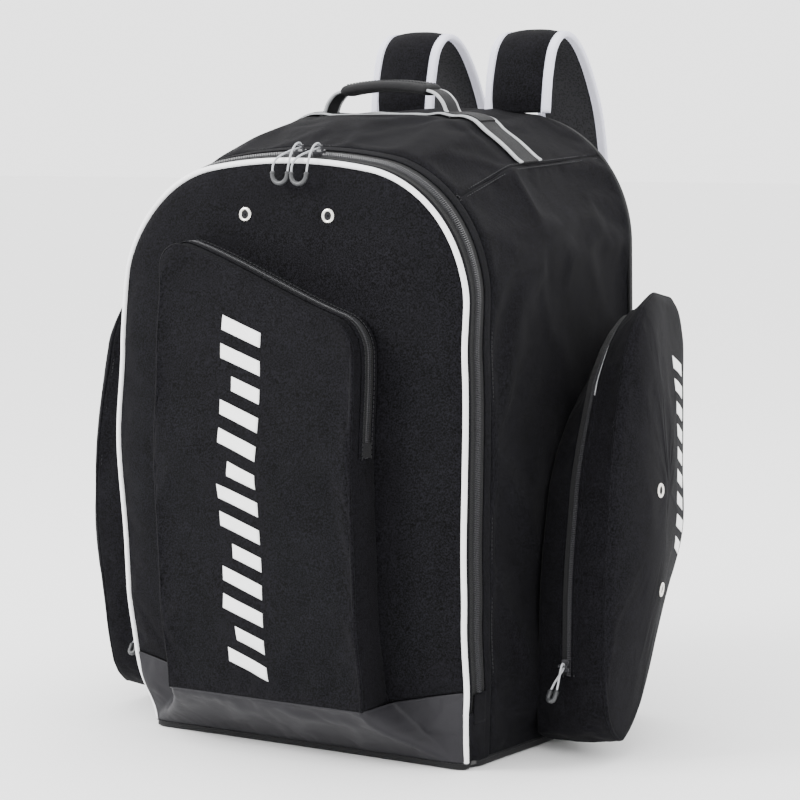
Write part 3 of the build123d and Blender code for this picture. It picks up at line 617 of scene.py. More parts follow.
def cord_loop(name, points):
    """Braided cord through a few points."""
    curve = bpy.data.curves.new(f"{name}_loop", "CURVE")
    curve.dimensions = "3D"
    curve.bevel_depth = CORD_D / 2
    curve.bevel_resolution = 4
    curve.resolution_u = 8
    curve.use_fill_caps = True
    spline = curve.splines.new("NURBS")
    spline.points.add(len(points) - 1)
    for target, p in zip(spline.points, points):
        target.co = (*p, 1)
    spline.order_u = 3
    spline.use_endpoint_u = True
    loop = bpy.data.objects.new(f"{name}_loop", curve)
    bpy.context.scene.collection.objects.link(loop)
    return dress(loop, "cord_grey", name, [f"{name}_cord"])


def end_clip(name, points):
    """Moulded clip that joins the cord's two ends, with ribs round each."""
    start, end = points[0], points[-1]
    reach = unit((start - points[1]) + (end - points[-2]))
    side = unit(end - start)
    along = unit(reach - side * np.dot(reach, side))
    half = np.linalg.norm(end - start) / 2
    arm = CLIP_ARM[name.split("_")[0]]
    path = [start - along * 1.5 * MM]
    path += [start + along * arm * k / 3 for k in range(4)]
    centre = (start + end) / 2 + along * arm
    for angle in np.linspace(0, np.pi, 13)[1:-1]:
        path.append(centre - side * half * math.cos(angle) + along * half * math.sin(angle))
    path += [end + along * arm * k / 3 for k in range(3, -1, -1)]
    path.append(end - along * 1.5 * MM)
    normal = np.cross(side, along)
    count = len(path)
    taper = np.ones((count, 2))
    taper[0] = taper[-1] = 0.72
    clip = swept(f"{name}_end_clip", path, [normal] * count, round_profile(CLIP_R, 12), scale=taper)
    ribs = []
    for foot in (start, end):
        for k in range(3):
            middle = foot + along * (0.2 + 1.5 * k) * arm / 7
            ring = [middle + (side * math.cos(a) + normal * math.sin(a)) * CLIP_R
                    for a in np.linspace(0, 2 * np.pi, 17)[:-1]]
            outward = [unit(p - middle) for p in ring]
            ribs.append(swept("rib", ring, outward, round_profile(0.35 * MM, 6), closed=True))
    clip = join([clip] + ribs, f"{name}_end_clip")
    return dress(clip, "moulded_black", name, [f"{name}_clip"])


def add_pull(name, route, out, across):
    """Cord loop round the slider's bar, hanging with its clip."""
    joint = next(j for j in frame["joints"] if j["child"] == name)
    bar = np.array(joint["pos_m"])
    out, across, up = np.array(out), np.array(across), np.array([0, 0, 1.0])
    points = [bar + MM * (out * p[0] + up * p[1] + across * p[2]) for p in route]
    loop = cord_loop(name, points)
    clip = end_clip(name, points)


FORWARD = (0, -1, 0)
RIGHTWARD = (1, 0, 0)
LEFTWARD = (-1, 0, 0)
for side in ("left", "right"):
    add_pull(f"main_pull_{side}", MAIN_CORD, FORWARD, RIGHTWARD)
    add_pull(f"side_pull_{side}", SIDE_CORD, FORWARD, RIGHTWARD)
add_pull("front_pocket_pull", FRONT_CORD, LEFTWARD, FORWARD)

# ---------------------------------------------------------------- cloth

SIMULATED = []
CLOTH_FRAMES = 18


def let_hang(obj, pinned, pressure=2.0, slack=0.012, cap=8 * MM, stiffness=18.0):
    """Queues a sheet for the cloth run: pinned points stay, the rest billows by at most cap."""
    group = obj.vertex_groups.new(name="pin")
    for index in np.nonzero(pinned)[0]:
        group.add([int(index)], 1.0, "REPLACE")
    cloth = obj.modifiers.new("cloth", "CLOTH")
    settings = cloth.settings
    settings.quality = 4
    settings.mass = 0.35
    settings.tension_stiffness = settings.compression_stiffness = stiffness
    settings.shear_stiffness = stiffness * 0.5
    settings.bending_stiffness = 0.35
    settings.use_pressure = True
    settings.uniform_pressure_force = pressure
    settings.shrink_min = -slack
    settings.vertex_group_mass = "pin"
    settings.effector_weights.gravity = 0.0
    cloth.collision_settings.use_collision = False
    cloth.point_cache.frame_start = 1
    cloth.point_cache.frame_end = CLOTH_FRAMES
    SIMULATED.append((obj, cap))


def run_cloth():
    """Steps every queued sheet at once, then applies the result within each one's cap."""
    if SIMULATED:
        scene = bpy.context.scene
        scene.frame_start, scene.frame_end = 1, CLOTH_FRAMES
        for number in range(1, CLOTH_FRAMES + 1):
            scene.frame_set(number)
        for obj, cap in SIMULATED:
            start = np.array([v.co for v in obj.data.vertices])
            bake_modifiers(obj)
            moved = np.array([v.co for v in obj.data.vertices]) - start
            size = np.linalg.norm(moved, axis=1, keepdims=True)
            moved *= np.minimum(1, cap * np.tanh(size / cap) / np.maximum(size, 1e-9))
            obj.data.vertices.foreach_set("co", (start + moved).ravel())
        scene.frame_set(1)
    for obj, _ in SIMULATED:
        obj.modifiers.clear()
        obj.vertex_groups.clear()


def ripples(points, seed, wavelength, height, count=7):
    """Soft irregular folds: a few seeded waves, each with its own direction, summed."""
    random = np.random.default_rng(seed)
    p = np.asarray(points, float)
    total = np.zeros(p.shape[:-1])
    for _ in range(count):
        direction = unit(random.normal(size=3))
        length = wavelength * random.uniform(0.7, 1.6)
        total += np.sin(2 * np.pi * (p @ direction) / length + random.uniform(0, 6.3)) / count
    return height * total


def seam_roll(distance, depth=1.6 * MM, reach=4 * MM):
    """How far cloth is pulled in beside a seam."""
    return -depth * np.exp(-((distance / reach) ** 2))


def stitches(name, path, normals, body, slot="webbing_black", pitch=4.6 * MM, length=3.2 * MM, wide=0.8 * MM,
             material=None, blend=None, lift=0.25 * MM):
    """A row of separate thread stitches lying on a seam."""
    points, out, along = evenly(path, normals, pitch)
    out = unit(out - np.sum(out * along, axis=1, keepdims=True) * along)
    across = np.cross(out, along)
    obj = teeth_object(name, points + out * lift, along, across, out, (length, wide, 1.0 * MM))
    return finish_piece(obj, slot, body, material=material or DARK_THREAD, blend=blend)


def resample_with(path, normals, step):
    """Evenly spaced path points with their normals, as rows of six."""
    rows = np.concatenate([np.asarray(path, float), np.asarray(normals, float)], axis=1)
    lengths = np.concatenate([[0], np.cumsum(np.linalg.norm(np.diff(rows[:, :3], axis=0), axis=1))])
    wanted = np.linspace(0, lengths[-1], max(2, int(round(lengths[-1] / step)) + 1))
    return np.stack([np.interp(wanted, lengths, rows[:, k]) for k in range(6)], axis=1)


def evenly(path, normals, step):
    """Evenly spaced points of a path, with the unit normals and directions there."""
    rows = resample_with(path, normals, step)
    points = rows[:, :3]
    return points, unit(rows[:, 3:]), tangents_of(points)


def finish_piece(obj, slot, body, nodes=(), material=None, blend=None):
    """Dresses a piece; one that crosses a joint, given a blend, gets no body and has its transform baked into its
    mesh.
    """
    if blend is None:
        return dress(obj, slot, body, nodes, material)
    dress(obj, slot, None, nodes, material)
    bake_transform(obj)
    return obj


def ribbon(name, path, normals, width, thickness, slot, body, nodes=(), material=None, blend=None,
           step=4 * MM, crown=0.0):
    """Flat webbing of rounded section along a path."""
    rows = resample_with(path, normals, step)
    profile = slab_profile(width, thickness)
    if crown:
        profile[:, 1] += crown * (1 - (2 * profile[:, 0] / width) ** 2)
    obj = swept(name, rows[:, :3], rows[:, 3:], profile)
    return finish_piece(obj, slot, body, nodes, material, blend)


def trim(name, path, normals, profile, slot, body, nodes=(), blend=None, closed=False, scale=None):
    """A swept piece, dressed."""
    return finish_piece(swept(name, path, normals, profile, closed, scale), slot, body, nodes, blend=blend)


def arch_path(y, t_low, t_high, grow=0.0, step=0.01):
    """Points along the bag's arch at depth y, with outward normals."""
    t = np.linspace(t_low, t_high, max(8, int((t_high - t_low) / step)))
    here = bag_surface(t, y, grow)
    out = unit(bag_surface(t, y, grow + 1 * MM) - here)
    return here, out


HINGE_BLEND = ("bag", "front_flap", (0, FRONT_Y, 0.045), (0, FRONT_Y, 0.075))
FOOT_Z = 8 * MM

# ---------------------------------------------------------------- body shell

T_PER_SHOULDER = SHOULDER_R * (np.pi / 2 - CROWN_ANGLE)
BACK_EDGE = BACK_Y - 1 * MM


def shell_panel(name, t_low, t_high, cap, seed, step=6 * MM):
    """One sewn panel of the bag's shell between four seams, billowed by the cloth run."""
    t_dense = np.linspace(t_low, t_high, 400)
    lengths = np.concatenate([[0], np.cumsum(np.linalg.norm(np.diff(arch(t_dense, 0.0), axis=0), axis=1))])
    t = np.interp(np.linspace(0, lengths[-1], int(lengths[-1] / step) + 1), lengths, t_dense)
    y_span = BACK_EDGE - TAPE_BACK
    y = np.linspace(TAPE_BACK, BACK_EDGE, int(y_span / step) + 1)
    along = np.linspace(0, lengths[-1], len(t))[:, None]
    across = (y - TAPE_BACK)[None, :]
    edge = np.minimum(np.minimum(along, lengths[-1] - along), np.minimum(across, y_span - across))
    t_grid, y_grid = np.meshgrid(t, y, indexing="ij")
    grow = seam_roll(edge)
    flat = bag_surface(t_grid, y_grid, 0.0)
    grow = grow + ripples(flat, seed, 0.11, 2.2 * MM) * smooth(0.0, 0.04, edge)
    obj = grid_object(name, bag_surface(t_grid, y_grid, grow))
    let_hang(obj, (edge < step * 0.6).ravel(), pressure=1.2, slack=0.014, cap=cap)
    return obj


top_shell = shell_panel("top_panel_cloth", -SEAM_T, SEAM_T, cap=5 * MM, seed=3)
side_shells = {}
for side, sign in SIDES:
    low, high = sorted((sign * SEAM_T, sign * t_at_height(FOOT_Z, 0.0)))
    side_shells[side] = shell_panel(f"side_panel_{side}_cloth", low, high, cap=8 * MM, seed=5 + sign)


def arch_top(x, apex, inset):
    """Height of the arch outline, inset evenly, above x."""
    x = abs(x)
    split = (CROWN_R - inset) * math.sin(CROWN_ANGLE)
    if x <= split:
        return apex - CROWN_R + math.sqrt((CROWN_R - inset) ** 2 - x**2)
    reach = max(0.0, (SHOULDER_R - inset) ** 2 - (x - SHOULDER_X) ** 2)
    return apex - SHOULDER_DROP + math.sqrt(reach)


def columns(xs, lows, highs, rows):
    """Upright columns of points at each x, evenly spaced from its low to its high."""
    grid = np.zeros((len(xs), rows, 3))
    for i, (x, low, high) in enumerate(zip(xs, lows, highs)):
        grid[i, :, 0] = x
        grid[i, :, 2] = low + (high - low) * np.linspace(0, 1, rows)
    return grid


PANEL_INSET = 2.0 * MM


def skirt_top(x):
    """Top edge of the charcoal band at x: along the pocket's foot, rising to the piping at both sides."""
    if x < POCKET_LEFT:
        return POCKET_FOOT + (BAND_TOP - POCKET_FOOT) * ((POCKET_LEFT - x) / (HALF + POCKET_LEFT)) ** 0.8
    if x > POCKET_RIGHT:
        return POCKET_FOOT + (BAND_TOP - POCKET_FOOT) * ((x - POCKET_RIGHT) / (HALF - POCKET_RIGHT)) ** 0.9
    return POCKET_FOOT


# Front panel of the flap, from the charcoal band up to the piping
ROWS, COLUMNS = 84, 78
phi = np.linspace(-np.pi / 2, np.pi / 2, COLUMNS)
panel_x = (HALF - PANEL_INSET) * np.sin(phi)
panel_tops = [arch_top(x, FRONT_APEX, PANEL_INSET) for x in panel_x]
front = columns(panel_x, [skirt_top(x) for x in panel_x], panel_tops, ROWS)
edge = np.minimum(front[:, :, 2] - front[:, :1, 2], front[:, -1:, 2] - front[:, :, 2])
edge = np.minimum(edge, (HALF - np.abs(front[:, :, 0])))
front[:, :, 1] = FRONT_Y - seam_roll(edge, 2.2 * MM, 6 * MM)
front[:, :, 1] -= ripples(front, 12, 0.10, 1.6 * MM) * smooth(0, 0.05, edge)
front_cloth = grid_object("front_panel_cloth", soften(front))
let_hang(front_cloth, (edge < 3 * MM).ravel(), pressure=-1.0, slack=0.008, cap=4 * MM)

# Charcoal band with the wedge under the pocket
WEDGE_SPREAD = 84 * MM
WEDGE_SHARP = 260.0


def wedge_out(x, z):
    """How far the charcoal band stands forward, swelling out to the pocket's foot."""
    rise = np.clip((z - FOOT_Z) / (POCKET_FOOT - FOOT_Z), 0, 1)
    front_plane = POCKET_DEPTH * rise
    beyond = np.maximum(np.maximum(POCKET_LEFT - x, x - POCKET_RIGHT), 0)
    width = WEDGE_SPREAD * (1 - rise) + 3 * MM
    side_plane = POCKET_DEPTH * (1 - beyond / width)
    joined = -np.log(np.exp(-WEDGE_SHARP * front_plane) + np.exp(-WEDGE_SHARP * side_plane)) / WEDGE_SHARP
    swell = 5 * MM * np.sin(np.pi * rise) * smooth(1.0, 0.3, beyond / width)
    return np.maximum(joined + swell, 0)


SKIRT_ROWS = 22
band_x = np.concatenate([
    np.linspace(-HALF + 2 * MM, POCKET_LEFT - 1.5 * MM, 22),
    np.linspace(POCKET_LEFT, POCKET_RIGHT, 52),
    np.linspace(POCKET_RIGHT + 1.5 * MM, HALF - 2 * MM, 24),
])
band = np.zeros((len(band_x), SKIRT_ROWS, 3))
for i, x in enumerate(band_x):
    z = FOOT_Z + (skirt_top(x) - FOOT_Z) * np.linspace(0, 1, SKIRT_ROWS)
    band[i, :, 0] = x
    band[i, :, 1] = FRONT_Y - wedge_out(x, z)
    band[i, :, 2] = z
edge = np.minimum(band[:, :, 2] - FOOT_Z, band[:, -1:, 2] - band[:, :, 2])
band[:, :, 1] -= ripples(band, 21, 0.07, 2.0 * MM) * smooth(0, 0.02, edge)
band_cloth = grid_object("charcoal_band", soften(band))
pinned = (edge < 1 * MM) | (HALF - np.abs(band[:, :, 0]) < 3 * MM)
let_hang(band_cloth, pinned.ravel(), pressure=1.5, slack=0.012, cap=4 * MM)

# ---------------------------------------------------------------- front pocket

POCKET_TOP = 541 * MM
POCKET_TOP_RIGHT = 457 * MM
POCKET_R = 30 * MM


def pocket_top(x, grow=0.0):
    """Top edge of the front pocket: a soft S falling to the right, rounded into both sides."""
    left, right = POCKET_LEFT - grow, POCKET_RIGHT + grow
    u = (x - left) / (right - left)
    z = POCKET_TOP + (POCKET_TOP_RIGHT - POCKET_TOP) * smooth_line(u) + grow
    for distance in (x - left, right - x):
        into = POCKET_R - distance
        if into > 0:
            z -= POCKET_R - math.sqrt(max(POCKET_R**2 - into**2, 0))
    return z


def smooth_line(u):
    """Falls slowly at first, then evenly, then slowly: the S of the pocket's top edge."""
    return 0.72 * u + 0.28 * float(smooth(0.05, 0.95, u))


def pocket_outline(grow=0.0, step=5 * MM):
    """Path up the left side, over the top and down the right side, as (x, z)."""
    left, right = POCKET_LEFT - grow, POCKET_RIGHT + grow
    theta = np.linspace(0, np.pi, 90)
    middle, half = (left + right) / 2, (right - left) / 2
    top = [(middle - half * math.cos(a), pocket_top(middle - half * math.cos(a), grow)) for a in theta]
    up = [(left, z) for z in np.arange(POCKET_FOOT, top[0][1], step)]
    down = [(right, z) for z in np.arange(top[-1][1] - step, POCKET_FOOT, -step)] + [(right, POCKET_FOOT)]
    return resample([(x, 0, z) for x, z in up + top + down], step)


def outline_normals(path):
    along = tangents_of(path)
    return unit(np.stack([-along[:, 2], 0 * along[:, 0], along[:, 0]], axis=1))


outline = pocket_outline()
outward = outline_normals(outline)
GUSSET_ROWS = 12
depth = np.linspace(0, POCKET_DEPTH - 2 * MM, GUSSET_ROWS)
puff = 1.8 * MM * np.sin(np.pi * depth / depth[-1])
gusset = outline[:, None, :] + outward[:, None, :] * puff[None, :, None]
gusset[:, :, 1] = FRONT_Y - depth[None, :]
pocket_side = grid_object("front_pocket_side_cloth", soften(gusset))

face_x = POCKET_LEFT + (POCKET_RIGHT - POCKET_LEFT) * (1 - np.cos(np.linspace(0, np.pi, 60))) / 2
FACE_ROWS = 84
face = columns(face_x, [POCKET_FOOT] * len(face_x), [pocket_top(x) for x in face_x], FACE_ROWS)
edge = np.minimum(face[:, :, 2] - POCKET_FOOT, face[:, -1:, 2] - face[:, :, 2])
edge = np.minimum(edge, np.minimum(face[:, :, 0] - POCKET_LEFT, POCKET_RIGHT - face[:, :, 0]))
face[:, :, 1] = FRONT_Y - POCKET_DEPTH + 1.5 * MM - 0.5 * MM * smooth(0, 0.05, edge)
face[:, :, 1] -= ripples(face, 33, 0.12, 1.6 * MM) * smooth(0, 0.04, edge)
pocket_front = grid_object("front_pocket_face_cloth", soften(face))
let_hang(pocket_front, (edge < 1.5 * MM).ravel(), pressure=1.0, slack=0.008, cap=3 * MM)

# ---------------------------------------------------------------- side pockets

LEFT_POCKET_FORWARD = 28 * MM
SIDE_INNER = [(-36, 9), (-42, 40), (-40, 190), (-18, 298), (35, 363), (99, 402), (160, 438), (160, 110),
              (50, 8)]
SIDE_OUTER = [(-48, 24), (-69, 62), (-67, 190), (-50, 320), (-17, 440), (38, 480), (150, 462), (150, 205),
              (-26, 22)]
CORNER_CUT = 20 * MM
ROOT_X = HALF
SEAM_OUT = HALF + 100 * MM
SIDE_CENTRE = np.array([0.045, 0.270])


def rounded_loop(corners, samples=5):
    """Closed smooth outline that follows the edges between its corners and rounds each one."""
    control = []
    for a, b in zip(corners, corners[1:] + corners[:1]):
        a, b = np.array(a, float) * MM, np.array(b, float) * MM
        cut = min(CORNER_CUT / np.linalg.norm(b - a), 0.3)
        control += [a + (b - a) * cut, a + (b - a) * (0.5 + cut) / 2]
        control += [a + (b - a) * (1.5 - cut) / 2, a + (b - a) * (1 - cut)]
    control = np.array(control)
    points = []
    count = len(control)
    for k in range(count):
        a = (control[k - 1] + control[k]) / 2
        b = (control[k] + control[(k + 1) % count]) / 2
        t = np.linspace(0, 1, samples, endpoint=False)[:, None]
        points.append((1 - t) ** 2 * a + 2 * t * (1 - t) * control[k] + t**2 * b)
    return np.concatenate(points)


inner_loop = rounded_loop(SIDE_INNER)
outer_loop = rounded_loop(SIDE_OUTER)


def seam_x(y, z, sign):
    """Distance of the side pocket's outer seam from the middle: it leans in towards the back.

    The left pocket is fuller, as if it held more.
    """
    fuller = 23 * MM * smooth(0.05, 0.28, z) if sign < 0 else 0.0
    return SEAM_OUT - 32 * MM * smooth(-0.02, 0.16, y) + fuller


def pocket_y(y, sign):
    """Depth of a point of the side pocket: the left pocket sits further forward than the right."""
    return y if sign > 0 else y - LEFT_POCKET_FORWARD


def side_gusset(u, sign, grow=0.0):
    """Loop round the side pocket at u from the bag's side (0) to the outer seam (1)."""
    loop = inner_loop * (1 - u) + outer_loop * u
    along = np.roll(loop, -1, axis=0) - np.roll(loop, 1, axis=0)
    out = unit(np.stack([-along[:, 1], along[:, 0]], axis=1))
    puff = 3 * MM * math.sin(math.pi * u) + grow
    loop = loop + out * puff
    x = ROOT_X + 2 * MM + (seam_x(loop[:, 0], loop[:, 1], sign) - ROOT_X - 2 * MM) * u
    root = 7 * MM * (1 - u) * np.sin(np.pi * np.clip(loop[:, 1] / SIDE_TOP, 0, 1))
    return np.stack([sign * (x + root), pocket_y(loop[:, 0], sign), loop[:, 1]], axis=1)


def side_face_point(loop_point, scale, sign):
    """Point of the pocket's domed outer face, on the ring scaled towards its centre."""
    p = SIDE_CENTRE + (loop_point - SIDE_CENTRE) * scale
    height = 21 * MM * np.sqrt(np.clip(1 - np.asarray(scale) ** 2.2, 0, 1))
    taper = smooth(0.02, 0.22, p[..., 1])
    x = seam_x(p[..., 0], p[..., 1], sign) + height * (0.35 + 0.65 * taper)
    return np.stack([sign * x, pocket_y(p[..., 0], sign), p[..., 1]], axis=-1)


def gusset_cloth(side, sign):
    """The pocket's side wall, pinned at both seams and under the zip."""
    rings = np.array([side_gusset(u, sign) for u in np.linspace(0, 1, 15)])
    if sign < 0:
        rings = rings[:, ::-1]
    obj = grid_object(f"side_pocket_{side}_gusset", rings, close_v=True)
    pinned = np.zeros(rings.shape[:2], bool)
    pinned[0], pinned[-1], pinned[6:9] = True, True, True
    let_hang(obj, pinned.ravel(), pressure=0.8, slack=0.012, cap=3 * MM)
    return obj


def face_cloth(side, sign):
    """The pocket's domed face: rings closing on the middle, pinned at the outer seam."""
    scales = np.concatenate([np.linspace(1.0, 0.94, 4), np.linspace(0.9, 0.06, 24)])
    loop = outer_loop[::-1] if sign < 0 else outer_loop
    rings = np.array([side_face_point(loop, s, sign) for s in scales])
    rings[1:, :, 0] += sign * ripples(rings[1:], 40 + sign, 0.12, 1.5 * MM)
    verts = list(rings.reshape(-1, 3))
    count = rings.shape[1]
    faces = []
    for i in range(len(scales) - 1):
        for k in range(count):
            a, b = i * count + k, i * count + (k + 1) % count
            faces.append((a, b, b + count, a + count))
    verts.append(rings[-1].mean(axis=0))
    last = (len(scales) - 1) * count
    faces += [(last + k, last + (k + 1) % count, len(verts) - 1) for k in range(count)]
    obj = make_object(f"side_pocket_{side}_face", verts, faces)
    pinned = np.zeros(len(verts), bool)
    pinned[:count] = True
    let_hang(obj, pinned, pressure=0.8, slack=0.002, cap=1 * MM)
    return obj


side_clothes = []
for side, sign in SIDES:
    side_clothes.append((gusset_cloth(side, sign), f"pocket_gusset_{side}"))
    side_clothes.append((face_cloth(side, sign), f"pocket_face_{side}"))

run_cloth()

CLOTH_T = 1.6 * MM


def cloth_piece(obj, slot, body, nodes=(), blend=None):
    """Smooths a sheet, gives it thickness and dresses it."""
    modify(obj, "SUBSURF", levels=1, render_levels=1)
    bake_modifiers(obj)
    thicken(obj, CLOTH_T)
    return finish_piece(obj, slot, body, nodes, blend=blend)


cloth_piece(top_shell, "fabric_black", "bag", ["top_panel"])
for side in ("left", "right"):
    cloth_piece(side_shells[side], "fabric_black", "bag", [f"side_panel_{side}"])
cloth_piece(front_cloth, "fabric_black", "front_flap", ["front_panel"])
cloth_piece(band_cloth, "tarpaulin", None, ["flap_skirt", "front_skirt"], blend=HINGE_BLEND)
cloth_piece(pocket_side, "fabric_black", "front_flap", ["front_pocket_gusset"])
cloth_piece(pocket_front, "fabric_black", "front_flap", ["front_pocket_face"])
for obj, node in side_clothes:
    cloth_piece(obj, "fabric_black", "bag", [node])

# ---------------------------------------------------------------- front gusset, main zipper and piping

T_FOOT = float(t_at_height(FOOT_Z, FRONT_Y))
T_HINGE = float(t_at_height(62 * MM, FRONT_Y))
T_ZIP_FOOT = float(t_at_height(84 * MM, ZIP_Y))


def arch_strip(name, y_low, y_high, t_end, slot, body, nodes=(), grow=0.0, roll=(True, True), rows=6):
    """Narrow strip of cloth along the arch between two depths, with rolled seam edges."""
    t = arch_steps(t_end, 1.4)
    y = np.linspace(y_low, y_high, rows)
    t_grid, y_grid = np.meshgrid(t, y, indexing="ij")
    lift = np.zeros_like(y_grid) + grow
    if roll[0]:
        lift = lift + seam_roll(y_grid - y_low, 1.4 * MM, 2.5 * MM)
    if roll[1]:
        lift = lift + seam_roll(y_high - y_grid, 1.4 * MM, 2.5 * MM)
    obj = grid_object(name, bag_surface(t_grid, y_grid, lift))
    thicken(obj, 1.2 * MM)
    return finish_piece(obj, slot, body, nodes)


CHAIN_HALF = 3.0 * MM
TAPE_W = 10.5 * MM
FLAP_SPLIT = ZIP_Y - 0.3 * MM
arch_strip("flap_edge_cloth", FRONT_Y + 1.5 * MM, FLAP_SPLIT - CHAIN_HALF - TAPE_W + 2 * MM, T_HINGE,
           "fabric_black", "front_flap", ["flap_gusset"], roll=(True, False), rows=6)
arch_strip("flap_zip_tape", FLAP_SPLIT - CHAIN_HALF - TAPE_W, FLAP_SPLIT - 1.2 * MM, T_HINGE, "zipper_black",
           "front_flap", grow=-1.3 * MM, roll=(False, False), rows=5)
arch_strip("body_zip_tape", ZIP_Y + 1.2 * MM, ZIP_Y + CHAIN_HALF + TAPE_W, T_HINGE, "zipper_black",
           "bag", grow=-1.3 * MM, roll=(False, False), rows=5)
arch_strip("front_edge_cloth", ZIP_Y + CHAIN_HALF + TAPE_W - 2 * MM, TAPE_BACK, T_FOOT, "fabric_black",
           "bag", ["front_gusset"], roll=(False, True), rows=6)

for side, sign in SIDES:
    t = np.linspace(t_at_height(62 * MM, FRONT_Y), T_FOOT, 14)
    y = np.linspace(FRONT_Y + 2 * MM, ZIP_Y + CHAIN_HALF + TAPE_W - 1 * MM, 10)
    t_grid, y_grid = np.meshgrid(sign * t, y, indexing="ij")
    foot_cloth = bag_surface(t_grid, y_grid, 0.0)
    foot_cloth[:, :, 0] += sign * ripples(foot_cloth, 61, 0.05, 2.2 * MM)
    foot_piece = grid_object(f"zip_foot_cloth_{side}", foot_cloth[::-1] if sign < 0 else foot_cloth)
    cloth_piece(foot_piece, "fabric_black", None, blend=HINGE_BLEND)


def coil_half(name, y_near, y_far, body, nodes, phase):
    """Half of the main zipper's coil: close teeth across the arch."""
    path, out = arch_path((y_near + y_far) / 2, -T_ZIP_FOOT, T_ZIP_FOOT, 1.0 * MM, 0.004)
    points, normals, along = evenly(path, out, 2.3 * MM)
    points = points + along * phase
    across = np.cross(normals, along)
    size = (1.45 * MM, abs(y_far - y_near) + 0.5 * MM, 3.0 * MM)
    teeth = teeth_object(name, points, along, across, normals, size)
    bed_path, bed_out = arch_path((y_near + y_far) / 2, -T_ZIP_FOOT, T_ZIP_FOOT, -0.9 * MM, 0.01)
    bed = swept("coil_bed", bed_path, bed_out, slab_profile(abs(y_far - y_near) - 0.1 * MM, 1.6 * MM))
    obj = join([teeth, bed], name)
    return finish_piece(obj, "zipper_black", body, nodes, COIL)


coil_half("flap_zip_coil", FLAP_SPLIT - CHAIN_HALF, FLAP_SPLIT, "front_flap", ["flap_zip_teeth"], 0.0)
coil_half("body_zip_coil", ZIP_Y, ZIP_Y + CHAIN_HALF, "bag", ["body_zip_teeth"], 1.15 * MM)

for y, body, name in ((FLAP_SPLIT - CHAIN_HALF - TAPE_W + 1.2 * MM, "front_flap", "flap"),
                      (ZIP_Y + CHAIN_HALF + TAPE_W - 1.2 * MM, "bag", "body"),
                      (TAPE_BACK + 3 * MM, "bag", "edge")):
    path, out = arch_path(y, -T_ZIP_FOOT, T_ZIP_FOOT, 0.0, 0.01)
    stitches(f"{name}_zip_stitches", path, out, body)

# Woven ribs of the zip tapes
for body, name, offsets in (("front_flap", "flap", (-5.2, -7.6, -10.4)), ("bag", "body", (5.2, 7.6, 10.4))):
    for number, offset in enumerate(offsets):
        path, out = arch_path(ZIP_Y + offset * MM, -T_ZIP_FOOT, T_ZIP_FOOT, -1.0 * MM, 0.01)
        stitches(f"{name}_tape_rib_{number + 1}", path, out, body, pitch=2.3 * MM, length=1.3 * MM,
                 wide=1.5 * MM, material=TAPE_RIB)

path, out = arch_path(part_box("flap_piping")[0][1] + 3.2 * MM, -T_FOOT, T_FOOT, 0.6 * MM, 0.008)
trim("white_piping", path, out, round_profile(3.0 * MM, 14), "piping_white", None,
     ["flap_piping", "lower_piping"], HINGE_BLEND)
path, out = arch_path(FRONT_Y + 3.6 * MM, -T_FOOT, T_FOOT, -0.6 * MM, 0.01)
trim("piping_flange", path, out, slab_profile(4.5 * MM, 1.4 * MM), "fabric_black", None, blend=HINGE_BLEND)

for side, sign in SIDES:
    t_patch = np.linspace(t_at_height(82 * MM, ZIP_Y), t_at_height(50 * MM, ZIP_Y), 10)
    y_patch = np.linspace(ZIP_Y - 9 * MM, ZIP_Y + 11 * MM, 8)
    t_grid, y_grid = np.meshgrid(sign * t_patch, y_patch, indexing="ij")
    patch = grid_object(f"zip_end_patch_{side}", bag_surface(t_grid, y_grid, 1.5 * MM)[::sign])
    thicken(patch, 1.4 * MM)
    nodes = ["zip_end_patches"] if sign > 0 else []
    finish_piece(patch, "fabric_black", None, nodes, blend=HINGE_BLEND)

# Top and side seams: a double row of topstitching beside each seam
for side, sign in SIDES:
    y_seam = np.linspace(TAPE_BACK + 2 * MM, BACK_EDGE - 4 * MM, 60)
    for row, offset in enumerate((-3.2 * MM, 3.2 * MM)):
        t = sign * (SEAM_T + offset / T_PER_SHOULDER)
        points = bag_surface(t, y_seam, 0.0)
        out = unit(bag_surface(t, y_seam, 1 * MM) - points)
        stitches(f"top_seam_stitches_{side}_{row}", points, out, "bag", lift=0.0)

# ---------------------------------------------------------------- front pocket: piping, zipper and print

def pocket_line(depth, grow=0.0, start=0.0, end=1.0):
    """Path round the front pocket at a depth from the panel, with outward normals."""
    points = outline + outward * grow
    points[:, 1] = FRONT_Y - depth
    low, high = int(start * (len(points) - 1)), int(end * (len(points) - 1)) + 1
    normals = outward[low:high]
    return soften(points[low:high]), normals


def outline_fraction(side, z):
    """Where the outline passes height z on one side, as a fraction of its length."""
    half = len(outline) // 2
    column = outline[:half, 2] if side == "left" else outline[half:, 2]
    index = int(np.argmin(np.abs(column - z)))
    return (index if side == "left" else half + index) / (len(outline) - 1)


line, normals = pocket_line(POCKET_DEPTH - 1.5 * MM, 0.0)
front_normals = np.tile([0, -1.0, 0], (len(line), 1))
trim("front_pocket_self_piping", line, normals + front_normals, round_profile(2.1 * MM, 10), "fabric_black",
     "front_flap", ["front_pocket_piping"])
foot_line = np.array([(x, FRONT_Y - POCKET_DEPTH + 1 * MM, POCKET_FOOT - 0.5 * MM)
                      for x in np.linspace(POCKET_LEFT, POCKET_RIGHT, 50)])
trim("front_pocket_foot_seam", soften(foot_line), np.tile([0, -1.0, -0.4], (50, 1)),
     round_profile(1.3 * MM, 8), "tarpaulin", "front_flap")

ZIP_DEPTH = 22 * MM


